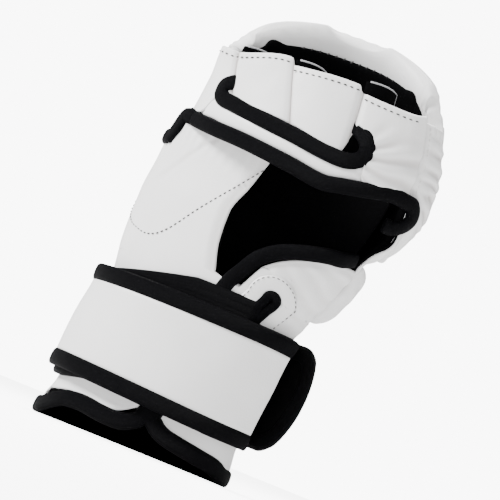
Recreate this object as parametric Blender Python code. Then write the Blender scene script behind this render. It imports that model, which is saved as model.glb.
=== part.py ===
# A left-hand sparring glove for mixed martial arts, open at the palm and the fingers.
# It stands on its cuff: +Z runs up to the fingers, the palm faces -Y and the thumb is at -X.
# All sizes are in millimetres; MM turns them into metres when a mesh is made.

import math

import bmesh
import bpy
from mathutils import Vector

MM = 0.001

# Overall sizes
GLOVE_WIDTH = 135.0         # across the knuckles
GLOVE_HEIGHT = 246.0        # cuff rim to the top of the knuckle guard
GLOVE_DEPTH = 84.0          # back of the guard to the front of the palm

# Layers of the wall, counted inwards from the leather's outer face
GAP = 0.35                  # clearance between pieces that touch on the real glove
LEATHER = 1.5
LINING = 1.3
CUFF_FOAM = 3.2
BACK_PAD = 10.0             # how far the back-of-hand pad stands up
GUARD_PAD = 25.0            # guard foam with its covers, over the knuckles
GUARD_PAD_SIDE = 12.0       # the same at the two sides
GUARD_PAD_RIM = 8.0         # the same at the top rim

# Black edge binding
BIND_WIDTH = 7.0
BIND_THICK = 3.6
RIM_HEIGHT = 7.0            # binding of the cuff rim, standing on the table
RIM_CLEAR = 2.0             # rim binding to the panels above it

# Heights of the seams
CUFF_TOP = 96.0             # cuff to back-of-hand pad
WRIST_SEAM = 112.0          # thenar panel to thumb sleeve
THUMB_TOP = 166.0           # mouth of the thumb sleeve
THUMB_DEPTH = 27.0          # thumb sleeve, front wall to inner wall
THUMB_WALL = -0.5           # y of the inner wall's far side
HINGE_HEIGHT = 150.0        # where the guard bends on the back of the hand
HINGE_DEPTH = 30.0
PAD_DIP = 14.0              # how far the back pad's top edge drops at the little finger

# Wrist strap
STRAP_LOW = 25.0
STRAP_HIGH = 85.0
STRAP_THICK = 2.2
STRAP_BIND = 8.0
STRAP_CLEAR = 0.9           # inner wrap to the cuff
FASTENER_THICK = 0.7
STRAP_TIP_REACH = 34.0      # length of the loose end past the last bend
FRONT_CORNER = 214.0        # degrees round the wrist, thumb side
BACK_CORNER = 150.0
TIP_CORNER = 36.0
CORNER_GAP = 0.8            # degrees between the strap's stretches

# Finger loops
LOOP_LOW = 189.0
LOOP_HIGH = 215.0
DIVIDER_DEPTH = 17.0
BAR_CORE = 2.5              # foam inside the palm bar

WHITE = ((0.80, 0.80, 0.80), 0.42)
BLACK = ((0.012, 0.012, 0.013), 0.62)
FOAM = ((0.10, 0.10, 0.11), 0.85)
HOOK = ((0.02, 0.02, 0.022), 0.95)

# Middle of the glove's box, counted from the wrist's axis
CENTRE_X = 9.62
CENTRE_Y = 3.1246

# Sections: height, left x, right x, front y, back y, y of the widest point
NOMINAL_WIDTH = 135.0
NOMINAL_HEIGHT = 246.0
NOMINAL_DEPTH = 84.0
WRIST_SECTIONS = [
    (0, -67, 42, -34, 33, 0),
    (9, -66, 42, -34, 33, 0),
    (21, -62, 41, -31.2, 31.4, 0),
    (55, -59, 43.5, -30, 31, 0),
    (78, -56, 46, -29.5, 31, 0),
    (94, -56.5, 50.5, -29.5, 32, 0),
    (110, -57.5, 58, -30, 33, 0),
    (130, -58, 66, -30, 35, 2),
    (150, -56, 72, -28.5, 37, 3),
    (182, -54, 78, -28, 39, 4),
]
# The same for the guard, by the share of its height from its lower edge to its rim
GUARD_SECTIONS = [
    (0.0, -54, 79, -42, 43, 5),
    (0.25, -50, 87, -42, 49, 5),
    (0.5, -47, 89, -41, 47, 1),
    (0.75, -43, 86, -38, 34, -6),
    (1.0, -38, 80, -34, 4, -18),
]
GUARD_FOOT = 142.0
GUARD_SPAN = 82.0
# Guard edges: degrees round the hand, height of the lower edge, height of the rim
GUARD_EDGES = [
    (-30, 177, 212),
    (-20, 173, 212),
    (-10, 161, 212),
    (0, 148, 213),
    (15, 141, 222),
    (35, 144, 234),
    (65, 150.5, 243.5),
    (90, 151, 246),
    (115, 151, 243.5),
    (145, 154, 234),
    (170, 176, 220),
    (186, 182, 215),
]
# Palm bar: x, lower edge, upper edge
BAR_EDGES = [
    (-29, 176.2, 185.9),
    (-24, 174.8, 184.6),
    (-8, 173.4, 181.4),
    (8, 171.6, 179.2),
    (23, 169.8, 177.4),
    (40, 167.6, 174.9),
    (50, 169.4, 174.9),
    (60, 171.4, 180),
    (73, 175, 186),
]
OPENING_EDGE = [(96, 3.5), (101, 2.6), (116, -1.5), (133, -2.5), (149, 2.6), (166, 7.5)]
ARC_EDGE = [(18.8, 101), (25, 113), (38.5, 123), (53, 128), (66, 129)]
SLIT_FOOT = (-0.5, 28.0)
SLIT_TOP = (36.4, 104.0)
SLIT_HALF = 5.0


def curve_value(table, key, column=1):
    # smooth value between the rows of a table, by cubic Hermite pieces
    rows = table
    if key <= rows[0][0]:
        return rows[0][column]
    if key >= rows[-1][0]:
        return rows[-1][column]
    i = max(k for k in range(len(rows) - 1) if rows[k][0] <= key)
    x0, x1 = rows[i][0], rows[i + 1][0]
    y0, y1 = rows[i][column], rows[i + 1][column]

    def slope(k):
        lo, hi = max(k - 1, 0), min(k + 1, len(rows) - 1)
        before = rows[k][column] - rows[lo][column]
        after = rows[hi][column] - rows[k][column]
        if before * after <= 0 and 0 < k < len(rows) - 1:
            return 0.0
        return (rows[hi][column] - rows[lo][column]) / (rows[hi][0] - rows[lo][0])

    h = x1 - x0
    t = (key - x0) / h
    m0, m1 = slope(i) * h, slope(i + 1) * h
    return (
        (2 * t**3 - 3 * t**2 + 1) * y0
        + (t**3 - 2 * t**2 + t) * m0
        + (-2 * t**3 + 3 * t**2) * y1
        + (t**3 - t**2) * m1
    )


def scaled(x, y, z):
    # from the tables' values, counted from the wrist's axis, to the glove's own frame
    return Vector((
        (x - CENTRE_X) * GLOVE_WIDTH / NOMINAL_WIDTH,
        (y - CENTRE_Y) * GLOVE_DEPTH / NOMINAL_DEPTH,
        z * GLOVE_HEIGHT / NOMINAL_HEIGHT,
    ))


def section_point(sections, key, angle, z):
    left, right, front, back, mid = (curve_value(sections, key, c) for c in range(1, 6))
    c, s = math.cos(math.radians(angle)), math.sin(math.radians(angle))
    depth = (back - mid) if s >= 0 else (mid - front)
    return scaled((left + right) / 2 + c * (right - left) / 2, mid + s * depth, z)


def hand(angle, z):
    # the leather's outer face round the wrist and the palm
    return section_point(WRIST_SECTIONS, z, angle, z)


def guard(angle, share):
    # the outer face of the knuckle guard, from its lower edge to its rim
    low = curve_value(GUARD_EDGES, angle, 1)
    high = curve_value(GUARD_EDGES, angle, 2)
    z = low + share * (high - low)
    back = max(0.0, math.sin(math.radians(angle)))
    key = guard_key(z) * (1 - back) + share * back
    return section_point(GUARD_SECTIONS, key, angle, z)


def guard_key(z):
    return (z - GUARD_FOOT) / GUARD_SPAN


def fingers(angle, z):
    # the guard's form carried on round the front, where the finger loops and the bar lie
    return section_point(GUARD_SECTIONS, guard_key(z), angle, z)


def finger_angle(x, z):
    left, right = (curve_value(GUARD_SECTIONS, guard_key(z), c) for c in (1, 2))
    share = (x - (left + right) / 2) / ((right - left) / 2)
    return 360 - math.degrees(math.acos(max(-0.999, min(0.999, share))))


def front_angle(x, z):
    # degrees round the palm side where the wrist surface has this x
    left, right = curve_value(WRIST_SECTIONS, z, 1), curve_value(WRIST_SECTIONS, z, 2)
    share = (x - (left + right) / 2) / ((right - left) / 2)
    return 360 - math.degrees(math.acos(max(-0.999, min(0.999, share))))


def normal(surface, a, b):
    da = surface(a + 0.4, b) - surface(a - 0.4, b)
    step = 0.004 if surface is guard else 0.4
    db = surface(a, b + step) - surface(a, b - step)
    return da.cross(db).normalized()


def offset(surface, a, b, distance):
    return surface(a, b) + normal(surface, a, b) * distance


def material(name, finish):
    found = bpy.data.materials.get(name)
    if found:
        return found
    new = bpy.data.materials.new(name)
    new.use_nodes = True
    shader = new.node_tree.nodes["Principled BSDF"]
    shader.inputs["Base Color"].default_value = (*finish[0], 1.0)
    shader.inputs["Roughness"].default_value = finish[1]
    return new


def add_object(name, verts, faces, finish, body):
    # makes one closed object from points in millimetres and hangs it on its body
    mesh = bpy.data.meshes.new(name)
    pivot = BODIES[body].matrix_world.translation
    mesh.from_pydata([Vector(v) * MM - pivot for v in verts], [], faces)
    bm = bmesh.new()
    bm.from_mesh(mesh)
    bmesh.ops.recalc_face_normals(bm, faces=bm.faces)
    bm.to_mesh(mesh)
    bm.free()
    mesh.shade_smooth()
    mesh.set_sharp_from_angle(angle=math.radians(40))
    mesh.materials.append(material(name, finish))
    new = bpy.data.objects.new(name, mesh)
    bpy.context.scene.collection.objects.link(new)
    new.parent = BODIES[body]
    return new


def slab(outer, inner, nu, nv):
    # points and faces of the closed solid between two grids
    verts = [p(i / nu, j / nv) for p in (outer, inner) for j in range(nv + 1) for i in range(nu + 1)]
    row, layer = nu + 1, (nu + 1) * (nv + 1)
    faces = []
    for j in range(nv):
        for i in range(nu):
            a = j * row + i
            faces.append((a, a + 1, a + row + 1, a + row))
            faces.append((a + layer, a + row + layer, a + row + 1 + layer, a + 1 + layer))
    edge = [i for i in range(nu)]
    edge += [j * row + nu for j in range(nv)]
    edge += [nv * row + i for i in range(nu, 0, -1)]
    edge += [j * row for j in range(nv, 0, -1)]
    for k, a in enumerate(edge):
        b = edge[(k + 1) % len(edge)]
        faces.append((a, a + layer, b + layer, b))
    return verts, faces


def skin(name, surface, where, outer, inner, finish, body, nu, nv):
    # a layer on a surface; where(u, v) gives its two surface values
    def at(distance):
        def point(u, v):
            a, b = where(u, v)
            d = distance(u, v) if callable(distance) else distance
            return offset(surface, a, b, d)
        return point
    verts, faces = slab(at(outer), at(inner), nu, nv)
    return add_object(name, verts, faces, finish, body)


def edging_mesh(path, half_width, half_thick, shift=0.0, sides=6):
    # a round-edged tape swept along (point, surface normal) pairs, shifted to one side
    count = len(path)
    verts, faces = [], []
    for k, (point, up) in enumerate(path):
        before = path[max(k - 1, 0)][0]
        after = path[min(k + 1, count - 1)][0]
        along = (after - before).normalized()
        side = up.cross(along).normalized()
        rise = along.cross(side).normalized()
        for s in range(sides):
            turn = 2 * math.pi * (s + 0.5) / sides
            across = shift + half_width * math.cos(turn)
            verts.append(point + side * across + rise * half_thick * math.sin(turn))
    for k in range(count - 1):
        a, b = k * sides, (k + 1) * sides
        for s in range(sides):
            t = (s + 1) % sides
            faces.append((a + s, a + t, b + t, b + s))
    faces.append(tuple(range(sides)))
    faces.append(tuple((count - 1) * sides + s for s in reversed(range(sides))))
    return verts, faces


def path_on(surface, where, distance, count):
    # (point, normal) pairs along where(t) on a surface, lifted by a distance
    pairs = []
    for k in range(count):
        a, b = where(k / (count - 1))
        pairs.append((offset(surface, a, b, distance), normal(surface, a, b)))
    return pairs


def mix(a, b, t):
    return a + (b - a) * t


def slit_x(z):
    return mix(SLIT_FOOT[0], SLIT_TOP[0], (z - SLIT_FOOT[1]) / (SLIT_TOP[1] - SLIT_FOOT[1]))


def make_bodies():
    def empty(name, place, parent):
        new = bpy.data.objects.new("body_" + name, None)
        bpy.context.scene.collection.objects.link(new)
        if parent:
            new.parent = BODIES[parent]
            new.location = place * MM - BODIES[parent].matrix_world.translation
        else:
            new.location = place * MM
        bpy.context.view_layer.update()
        BODIES[name] = new

    empty("cuff", Vector((0, 0, 0)), None)
    empty("guard", scaled(0, HINGE_DEPTH, HINGE_HEIGHT), "cuff")
    empty("thumb", hand(186, WRIST_SEAM), "cuff")
    # the strap's bends turn on lines that run up its outer face
    outer = strap_level(2)
    empty("strap_side", offset(hand, FRONT_CORNER, STRAP_LOW, outer), "cuff")
    empty("strap_back", offset(hand, BACK_CORNER, STRAP_LOW, outer), "strap_side")
    empty("strap_tip", offset(hand, TIP_CORNER, STRAP_LOW, outer), "strap_back")


def strap_level(step):
    # height over the cuff of the strap's faces: 0 and 1 inner wrap, 2 outer wrap's outside
    inner_top = STRAP_CLEAR + STRAP_THICK
    outer_low = inner_top + 3 * GAP + 2 * FASTENER_THICK
    return (inner_top, outer_low, outer_low + STRAP_THICK)[step]


# --- cuff and palm -------------------------------------------------------------------


def lobe_low(x):
    # lower edge of the two front lobes, rising towards the wrist slit
    away = abs(x - slit_x(SLIT_FOOT[1]))
    rise = 14.0 * math.exp(-((away / 13.0) ** 2))
    return RIM_HEIGHT + 4.5 + rise - 4.5 * min(1.0, away / 60.0) ** 2


def seam_angle(z, low, high):
    # side seams: the cuff's below its top edge, the back pad's above it
    return mix(low, high, min(1.0, max(0.0, (z - CUFF_TOP + 1.0) / 1.5)))


def row_height(v, low, high):
    # half the rows below the cuff's top edge, one step across it, the rest above
    if v <= 0.5:
        return mix(low, CUFF_TOP - 1.0, v / 0.5)
    if v <= 7 / 12:
        return mix(CUFF_TOP - 1.0, CUFF_TOP + 0.6, (v - 0.5) * 12)
    return mix(CUFF_TOP + 0.6, high, (v - 7 / 12) / (5 / 12))


def thenar_where(u, v):
    foot = slit_x(SLIT_FOOT[1]) - SLIT_HALF
    front = lobe_low(mix(-60, foot, max(0.0, u - 0.36) / 0.64))
    low = mix(RIM_HEIGHT + RIM_CLEAR, front, min(1.0, max(0.0, (u - 0.2) / 0.16)))
    z = row_height(v, low, WRIST_SEAM - GAP - 3.0 * u)
    leg = slit_x(z) - SLIT_HALF
    edge = mix(leg, curve_value(OPENING_EDGE, z), min(1.0, max(0.0, (z - 97) / 4)))
    return mix(seam_angle(z, 158.6, 174.5), front_angle(edge, z), u), z


def heel_where(u, v):
    foot = slit_x(SLIT_FOOT[1]) + SLIT_HALF
    front = lobe_low(mix(foot, 38, min(1.0, u / 0.6)))
    low = mix(front, RIM_HEIGHT + RIM_CLEAR, min(1.0, max(0.0, (u - 0.6) / 0.15)))
    top = SLIT_TOP[1] + 1.5
    high = curve_value(ARC_EDGE, mix(slit_x(top) - 13, 66, min(1.0, u / 0.75)), 1)
    z = row_height(v, low, high)
    edge = mix(slit_x(z) + SLIT_HALF, slit_x(top) - 11, min(1.0, max(0.0, (z - top) / 4)))
    return mix(front_angle(edge, z), seam_angle(z, 381.4, 361.5), u), z


def cuff_back_where(u, v):
    return mix(23, 157, u), mix(RIM_HEIGHT + RIM_CLEAR, CUFF_TOP, v)


def hand_back_where(u, v):
    angle = mix(5, 171, u)
    dip = PAD_DIP * max(0.0, 1 - angle / 62) ** 0.5
    return angle, mix(CUFF_TOP + 1.4, HINGE_HEIGHT - 2.5 - dip, v)


def make_cuff():
    foam_top = -(LEATHER + GAP)
    foam_low = foam_top - CUFF_FOAM
    skin("cuff_back_shell", hand, cuff_back_where, 0, -LEATHER, WHITE, "cuff", 12, 4)
    skin("cuff_back_foam", hand, cuff_back_where, foam_top, foam_low, FOAM, "cuff", 12, 4)
    skin("cuff_back_lining", hand, cuff_back_where, foam_low - GAP, foam_low - GAP - LINING,
         BLACK, "cuff", 12, 4)
    skin("thenar_panel", hand, thenar_where, 0, -LEATHER, WHITE, "cuff", 12, 12)
    skin("thenar_lining", hand, thenar_where, foam_top, foam_top - LINING, BLACK, "cuff", 12, 12)
    skin("heel_panel", hand, heel_where, 0, -LEATHER, WHITE, "cuff", 10, 12)
    skin("heel_lining", hand, heel_where, foam_top, foam_top - LINING, BLACK, "cuff", 10, 12)


def make_hand_back():
    foam_low = -(LEATHER + GAP) - CUFF_FOAM
    top = BACK_PAD

    def crown(u, v):
        edge = min(1.0, 6 * u, 6 * (1 - u), 5 * v, 5 * (1 - v))
        return top * math.sin(math.pi / 2 * max(edge, 0.12))

    skin("back_pad_shell", hand, hand_back_where, crown,
         lambda u, v: crown(u, v) - LEATHER, WHITE, "cuff", 13, 5)
    skin("back_pad_foam", hand, hand_back_where, lambda u, v: crown(u, v) - LEATHER - GAP,
         foam_low, FOAM, "cuff", 13, 5)
    skin("hand_back_lining", hand, hand_back_where, foam_low - GAP, foam_low - GAP - LINING,
         BLACK, "cuff", 13, 5)


def make_cuff_bindings():
    # flat-bottomed rim binding round the back and the two sides
    def rim(u, v, out):
        angle = mix(-32, 212, u)
        edge = offset(hand, angle, 7, out)
        edge.z = v * RIM_HEIGHT * GLOVE_HEIGHT / NOMINAL_HEIGHT
        return edge
    verts, faces = slab(lambda u, v: rim(u, v, 1.0), lambda u, v: rim(u, v, -7.0), 28, 1)
    add_object("cuff_rim_binding", verts, faces, BLACK, "cuff")

    def lobe(x_from, x_to):
        def where(t):
            x = mix(x_from, x_to, t)
            return front_angle(x, lobe_low(x)), lobe_low(x)
        below = -BIND_WIDTH / 2 - 2 * GAP
        return edging_mesh(path_on(hand, where, -1.0, 12), BIND_WIDTH / 2, BIND_THICK / 2, below)

    foot = slit_x(SLIT_FOOT[1])
    add_object("thumb_lobe_binding", *lobe(-58, foot - 7), BLACK, "cuff")
    add_object("heel_lobe_binding", *lobe(foot + 10, 31), BLACK, "cuff")

    # binding up one side of the wrist slit, round its top and down the other
    def slit(t):
        leg = SLIT_HALF - GAP - 2.0
        turn = 0.42
        if t < turn:
            z = mix(SLIT_FOOT[1] + 4, SLIT_TOP[1] - 5, t / turn)
            return front_angle(slit_x(z) - leg, z), z
        if t > 1 - turn:
            z = mix(SLIT_FOOT[1] + 4, SLIT_TOP[1] - 5, (1 - t) / turn)
            return front_angle(slit_x(z) + leg, z), z
        bend = math.pi * (t - turn) / (1 - 2 * turn)
        z = SLIT_TOP[1] - 5 + leg * 1.4 * math.sin(bend)
        return front_angle(slit_x(z) - leg * math.cos(bend), z), z
    tape = edging_mesh(path_on(hand, slit, -1.2, 24), 1.9, BIND_THICK / 2)
    add_object("wrist_slit_binding", *tape, BLACK, "cuff")

    def arc(t):
        x = mix(21, 60, t)
        z = curve_value(ARC_EDGE, x, 1) + 2 * GAP
        return front_angle(x, z), z
    above = BIND_WIDTH / 2 + 2 * GAP
    tape = edging_mesh(path_on(hand, arc, -1.0, 12), BIND_WIDTH / 2, BIND_THICK / 2, above)
    add_object("palm_arc_binding", *tape, BLACK, "cuff")

    def patch_where(u, v):
        z = mix(88, SLIT_TOP[1] + 1, v)
        return front_angle(slit_x(z) + SLIT_HALF + mix(0.8, 9.0, u), z), z
    skin("slit_patch", hand, patch_where, GAP + 1.1, GAP, WHITE, "cuff", 3, 4)


# --- wrist strap ---------------------------------------------------------------------


def strap_stretch(name, start, stop, low, body, nu, finish=WHITE):
    def where(u, v):
        return mix(start, stop, u), mix(STRAP_LOW + STRAP_BIND, STRAP_HIGH - STRAP_BIND, v)
    return skin(name, hand, where, low + STRAP_THICK, low, finish, body, nu, 2)


def strap_edges(name, start, stop, low, body, count):
    lower = (STRAP_LOW, STRAP_LOW + STRAP_BIND - GAP)
    upper = (STRAP_HIGH - STRAP_BIND + GAP, STRAP_HIGH)
    for side, (z_from, z_to) in (("low", lower), ("top", upper)):
        def at(distance, z_from=z_from, z_to=z_to):
            return lambda u, v: offset(hand, mix(start, stop, u), mix(z_from, z_to, v), distance)
        tape = slab(at(low + STRAP_THICK + 0.3), at(low - 0.05), count, 1)
        add_object(name + "_" + side, *tape, BLACK, body)


def make_strap():
    inner = STRAP_CLEAR
    outer = strap_level(1)
    strap_stretch("strap_inner_band", -46, 276, inner, "cuff", 26)
    strap_edges("strap_inner_binding", -46, 276, inner, "cuff", 26)
    strap_stretch("strap_palm_band", FRONT_CORNER + CORNER_GAP, 316, outer, "cuff", 12)
    strap_edges("strap_palm_binding", FRONT_CORNER + CORNER_GAP, 316, outer, "cuff", 12)
    strap_stretch("strap_side_band", BACK_CORNER + CORNER_GAP, FRONT_CORNER, outer, "strap_side", 8)
    strap_edges("strap_side_binding", BACK_CORNER + CORNER_GAP, FRONT_CORNER, outer, "strap_side", 8)
    strap_stretch("strap_back_band", TIP_CORNER + CORNER_GAP, BACK_CORNER, outer, "strap_back", 12)
    strap_edges("strap_back_binding", TIP_CORNER + CORNER_GAP, BACK_CORNER, outer, "strap_back", 12)

    def fastener(name, low, start, stop, body):
        def where(u, v):
            return mix(start, stop, u), mix(STRAP_LOW + 11, STRAP_HIGH - 11, v)
        skin(name, hand, where, low + FASTENER_THICK, low, HOOK, body, 10, 2)
    level = strap_level(0)
    fastener("loop_fastener", level + GAP, 40, 146, "cuff")
    fastener("hook_fastener", level + 2 * GAP + FASTENER_THICK, 44, 120, "strap_back")

    # the loose end leaves the last bend in a straight line
    def tip_point(s, z, lift):
        base = offset(hand, TIP_CORNER, z, 0)
        up = normal(hand, TIP_CORNER, z)
        along = Vector((0, 0, 1)).cross(up) * -1
        along.z = 0
        return base + along.normalized() * s + up * lift

    middle = (STRAP_LOW + STRAP_HIGH) / 2
    half = (STRAP_HIGH - STRAP_LOW) / 2

    def reach(v, margin):
        away = abs(2 * v - 1)
        return STRAP_TIP_REACH - margin - 14.0 * (1 - math.sqrt(max(0.0, 1 - away**2 * 0.98)))

    def face(lift, margin):
        def point(u, v):
            z = middle + (2 * v - 1) * (half - margin)
            return tip_point(mix(0.6, reach(v, margin), u), z, lift)
        return point
    low = outer
    verts, faces = slab(face(low + STRAP_THICK, STRAP_BIND), face(low + 0.9, STRAP_BIND), 4, 8)
    add_object("strap_tip_band", verts, faces, WHITE, "strap_tip")
    verts, faces = slab(face(low + 0.9 - GAP, STRAP_BIND), face(low - 0.4, STRAP_BIND), 4, 8)
    add_object("strap_tip_lining", verts, faces, BLACK, "strap_tip")

    def frame_path():
        points = []
        inset = STRAP_BIND / 2
        for k in range(21):
            t = k / 20
            if t < 0.3:
                s, v = mix(0.6, reach(0, STRAP_BIND) + 1, t / 0.3), 0.0
            elif t > 0.7:
                s, v = mix(0.6, reach(0, STRAP_BIND) + 1, (1 - t) / 0.3), 1.0
            else:
                v = (t - 0.3) / 0.4
                s = reach(v, STRAP_BIND) + inset + GAP
            z = middle + (2 * v - 1) * (half - STRAP_BIND + inset + GAP)
            points.append((tip_point(s, z, low + STRAP_THICK / 2), normal(hand, TIP_CORNER, z)))
        return points
    tape = edging_mesh(frame_path(), STRAP_BIND / 2 - 0.5, STRAP_THICK / 2 + 0.4)
    add_object("strap_tip_binding", *tape, BLACK, "strap_tip")


# --- thumb sleeve --------------------------------------------------------------------


def thumb_where(u, v):
    z = mix(WRIST_SEAM + GAP, THUMB_TOP, v)
    edge = curve_value(OPENING_EDGE, z, 1)
    return mix(184, front_angle(edge, z), u), z + 2.6 * u * (1 - v)


def thumb_inner(distance):
    # the wall between thumb and hand: it leaves the front wall at both ends
    def point(u, v):
        a, z = thumb_where(mix(0.03, 0.97, u), v)
        front = offset(hand, a, z, -(LEATHER + 2 * GAP + LINING) - 0.6)
        deep = front.y + THUMB_DEPTH * math.sin(math.pi * u) ** 0.75
        wall = scaled(0, THUMB_WALL, 0).y
        limit = front.y + min(THUMB_DEPTH, max(2.0 * u, wall - LINING - front.y))
        front.y = min(deep, limit) + distance
        return front
    return point


def make_thumb():
    lining = -(LEATHER + GAP)
    skin("thumb_front_panel", hand, thumb_where, 0, -LEATHER, WHITE, "thumb", 14, 5)
    skin("thumb_front_lining", hand, thumb_where, lining, lining - LINING, BLACK, "thumb", 14, 5)
    verts, faces = slab(thumb_inner(0), thumb_inner(LINING), 14, 5)
    add_object("thumb_inner_wall", verts, faces, BLACK, "thumb")

    def mouth_front(t):
        a, z = thumb_where(mix(0.0, 0.52, t), 1)
        return a, THUMB_TOP + BIND_WIDTH / 2 - 0.9 + GAP
    tape = edging_mesh(path_on(hand, mouth_front, -1.5, 12), BIND_WIDTH / 2 - 0.9, BIND_THICK / 2)
    add_object("thumb_mouth_binding", *tape, BLACK, "thumb")


# --- knuckle guard, finger loops and palm bar ----------------------------------------


def guard_pad(angle, share):
    back = max(0.0, math.sin(math.radians(angle)))
    full = mix(GUARD_PAD_SIDE, GUARD_PAD, back**1.2)
    low = min(1.0, 0.55 + share * 1.6)
    top = 1.0 if share < 0.6 else math.cos(math.pi / 2 * (share - 0.6) / 0.4)
    return mix(GUARD_PAD_RIM, full * low, top)


def guard_where(u, v):
    return mix(-30, 186, u), v


def make_guard():
    def depth(u, v):
        return guard_pad(*guard_where(u, v))
    skin("guard_shell", guard, guard_where, 0, -LEATHER, WHITE, "guard", 18, 8)
    skin("guard_foam_outer", guard, guard_where, -LEATHER - GAP,
         lambda u, v: -depth(u, v) * 0.5, FOAM, "guard", 18, 8)
    skin("guard_foam_inner", guard, guard_where, lambda u, v: -depth(u, v) * 0.5 - GAP,
         lambda u, v: -depth(u, v) + LINING + GAP, FOAM, "guard", 18, 8)
    skin("guard_lining", guard, guard_where, lambda u, v: -depth(u, v) + LINING,
         lambda u, v: -depth(u, v), BLACK, "guard", 18, 8)


def make_loops():
    names = ("index", "middle", "ring", "little")
    spans = ((188, 213), (215, 246), (248.5, 287), (289.5, 328.5))
    lows = (LOOP_LOW - 7, LOOP_LOW + 4, LOOP_LOW - 1, LOOP_LOW - 2)
    for name, (start, stop), low in zip(names, spans, lows):
        def where(u, v, start=start, stop=stop, low=low):
            return mix(start, stop, u), mix(low, LOOP_HIGH, v)
        skin("finger_loop_" + name, fingers, where, 0, -LEATHER, WHITE, "guard", 6, 3)
    for k in range(3):
        middle = (spans[k][1] + spans[k + 1][0]) / 2

        def where(u, v, middle=middle):
            return middle + mix(-0.5, 0.5, u), mix(LOOP_LOW + 5, LOOP_HIGH + 4, v)
        skin("finger_divider_" + names[k] + "_" + names[k + 1], fingers, where,
             -LEATHER - GAP, -LEATHER - GAP - DIVIDER_DEPTH, BLACK, "guard", 1, 3)


def bar_where(u, v):
    x = mix(BAR_EDGES[0][0], 62, u)
    z = mix(curve_value(BAR_EDGES, x, 1), curve_value(BAR_EDGES, x, 2), v)
    return finger_angle(x, z), z


def make_palm_bar():
    skin("palm_bar_cover", fingers, bar_where, 0, -LEATHER, WHITE, "guard", 14, 2)
    skin("palm_bar_core", fingers, bar_where, -LEATHER - GAP, -LEATHER - GAP - BAR_CORE,
         FOAM, "guard", 14, 2)

    def side_where(u, v):
        x = mix(62.6, 76, u)
        z = mix(curve_value(BAR_EDGES, x, 1), LOOP_LOW - 2 - 2 * GAP, v)
        return finger_angle(x, z), z
    skin("ulnar_side_panel", fingers, side_where, 0, -LEATHER, WHITE, "guard", 4, 3)

    def lower(t):
        x = mix(BAR_EDGES[0][0], 76, t)
        z = curve_value(BAR_EDGES, x, 1) - BIND_WIDTH / 2 - GAP
        return finger_angle(x, z), z
    tape = edging_mesh(path_on(fingers, lower, -1.0, 22), BIND_WIDTH / 2, BIND_THICK / 2)
    add_object("palm_bar_binding", *tape, BLACK, "guard")

    def upper(t):
        x = mix(-27, 53, t)
        z = curve_value(BAR_EDGES, x, 2) + BIND_WIDTH / 2 - 0.4
        return finger_angle(x, z), z
    tape = edging_mesh(path_on(fingers, upper, -1.6, 20), BIND_WIDTH / 2 - 1, BIND_THICK / 2)
    add_object("slot_binding", *tape, BLACK, "guard")


for old in list(bpy.data.objects):
    bpy.data.objects.remove(old, do_unlink=True)

BODIES = {}
make_bodies()
make_cuff()
make_hand_back()
make_cuff_bindings()
make_strap()
make_thumb()
make_guard()
make_loops()
make_palm_bar()
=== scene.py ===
import math

import bmesh
import bpy
import numpy as np
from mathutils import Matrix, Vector, noise


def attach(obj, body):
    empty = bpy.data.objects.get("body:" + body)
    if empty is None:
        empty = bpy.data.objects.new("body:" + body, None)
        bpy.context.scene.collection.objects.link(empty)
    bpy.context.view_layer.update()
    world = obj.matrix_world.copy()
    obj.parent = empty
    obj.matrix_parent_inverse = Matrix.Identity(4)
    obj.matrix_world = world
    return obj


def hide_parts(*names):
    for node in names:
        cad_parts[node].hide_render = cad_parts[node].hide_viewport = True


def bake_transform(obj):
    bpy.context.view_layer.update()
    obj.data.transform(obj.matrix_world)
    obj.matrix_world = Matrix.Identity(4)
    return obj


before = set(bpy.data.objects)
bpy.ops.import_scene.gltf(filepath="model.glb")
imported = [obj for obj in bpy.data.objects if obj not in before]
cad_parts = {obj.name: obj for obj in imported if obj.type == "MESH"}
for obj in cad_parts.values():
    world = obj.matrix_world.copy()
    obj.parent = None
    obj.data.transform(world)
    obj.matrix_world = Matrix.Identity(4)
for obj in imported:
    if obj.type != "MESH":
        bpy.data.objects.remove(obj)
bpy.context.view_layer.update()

mm = 0.001

# the same forms as the CAD part, in millimetres from the wrist's axis
centreX, centreY = 9.62, 3.1246
# wrist and hand: height, then left, right, front, back and middle of the section
wristSections = np.array([
    (0, -67, 42, -34, 33, 0),
    (9, -66, 42, -34, 33, 0),
    (21, -62, 41, -31.2, 31.4, 0),
    (55, -59, 43.5, -30, 31, 0),
    (78, -56, 46, -29.5, 31, 0),
    (94, -56.5, 50.5, -29.5, 32, 0),
    (110, -57.5, 58, -30, 33, 0),
    (130, -58, 66, -30, 35, 2),
    (150, -56, 72, -28.5, 37, 3),
    (182, -54, 78, -28, 39, 4),
], float)
# guard and fingers: share of the height, then the same five
guardSections = np.array([
    (0.0, -54, 79, -42, 43, 5),
    (0.25, -50, 87, -42, 49, 5),
    (0.5, -47, 89, -41, 47, 1),
    (0.75, -43, 86, -38, 34, -6),
    (1.0, -38, 80, -34, 4, -18),
], float)
# the guard's foot and rim at each angle, 0 at the little finger and 90 at the back
guardEdges = np.array([
    (-30, 177, 212),
    (-20, 173, 212),
    (-10, 161, 212),
    (0, 148, 213),
    (15, 141, 222),
    (35, 144, 234),
    (65, 150.5, 243.5),
    (90, 151, 246),
    (115, 151, 243.5),
    (145, 154, 234),
    (170, 176, 220),
    (186, 182, 215),
], float)
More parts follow.
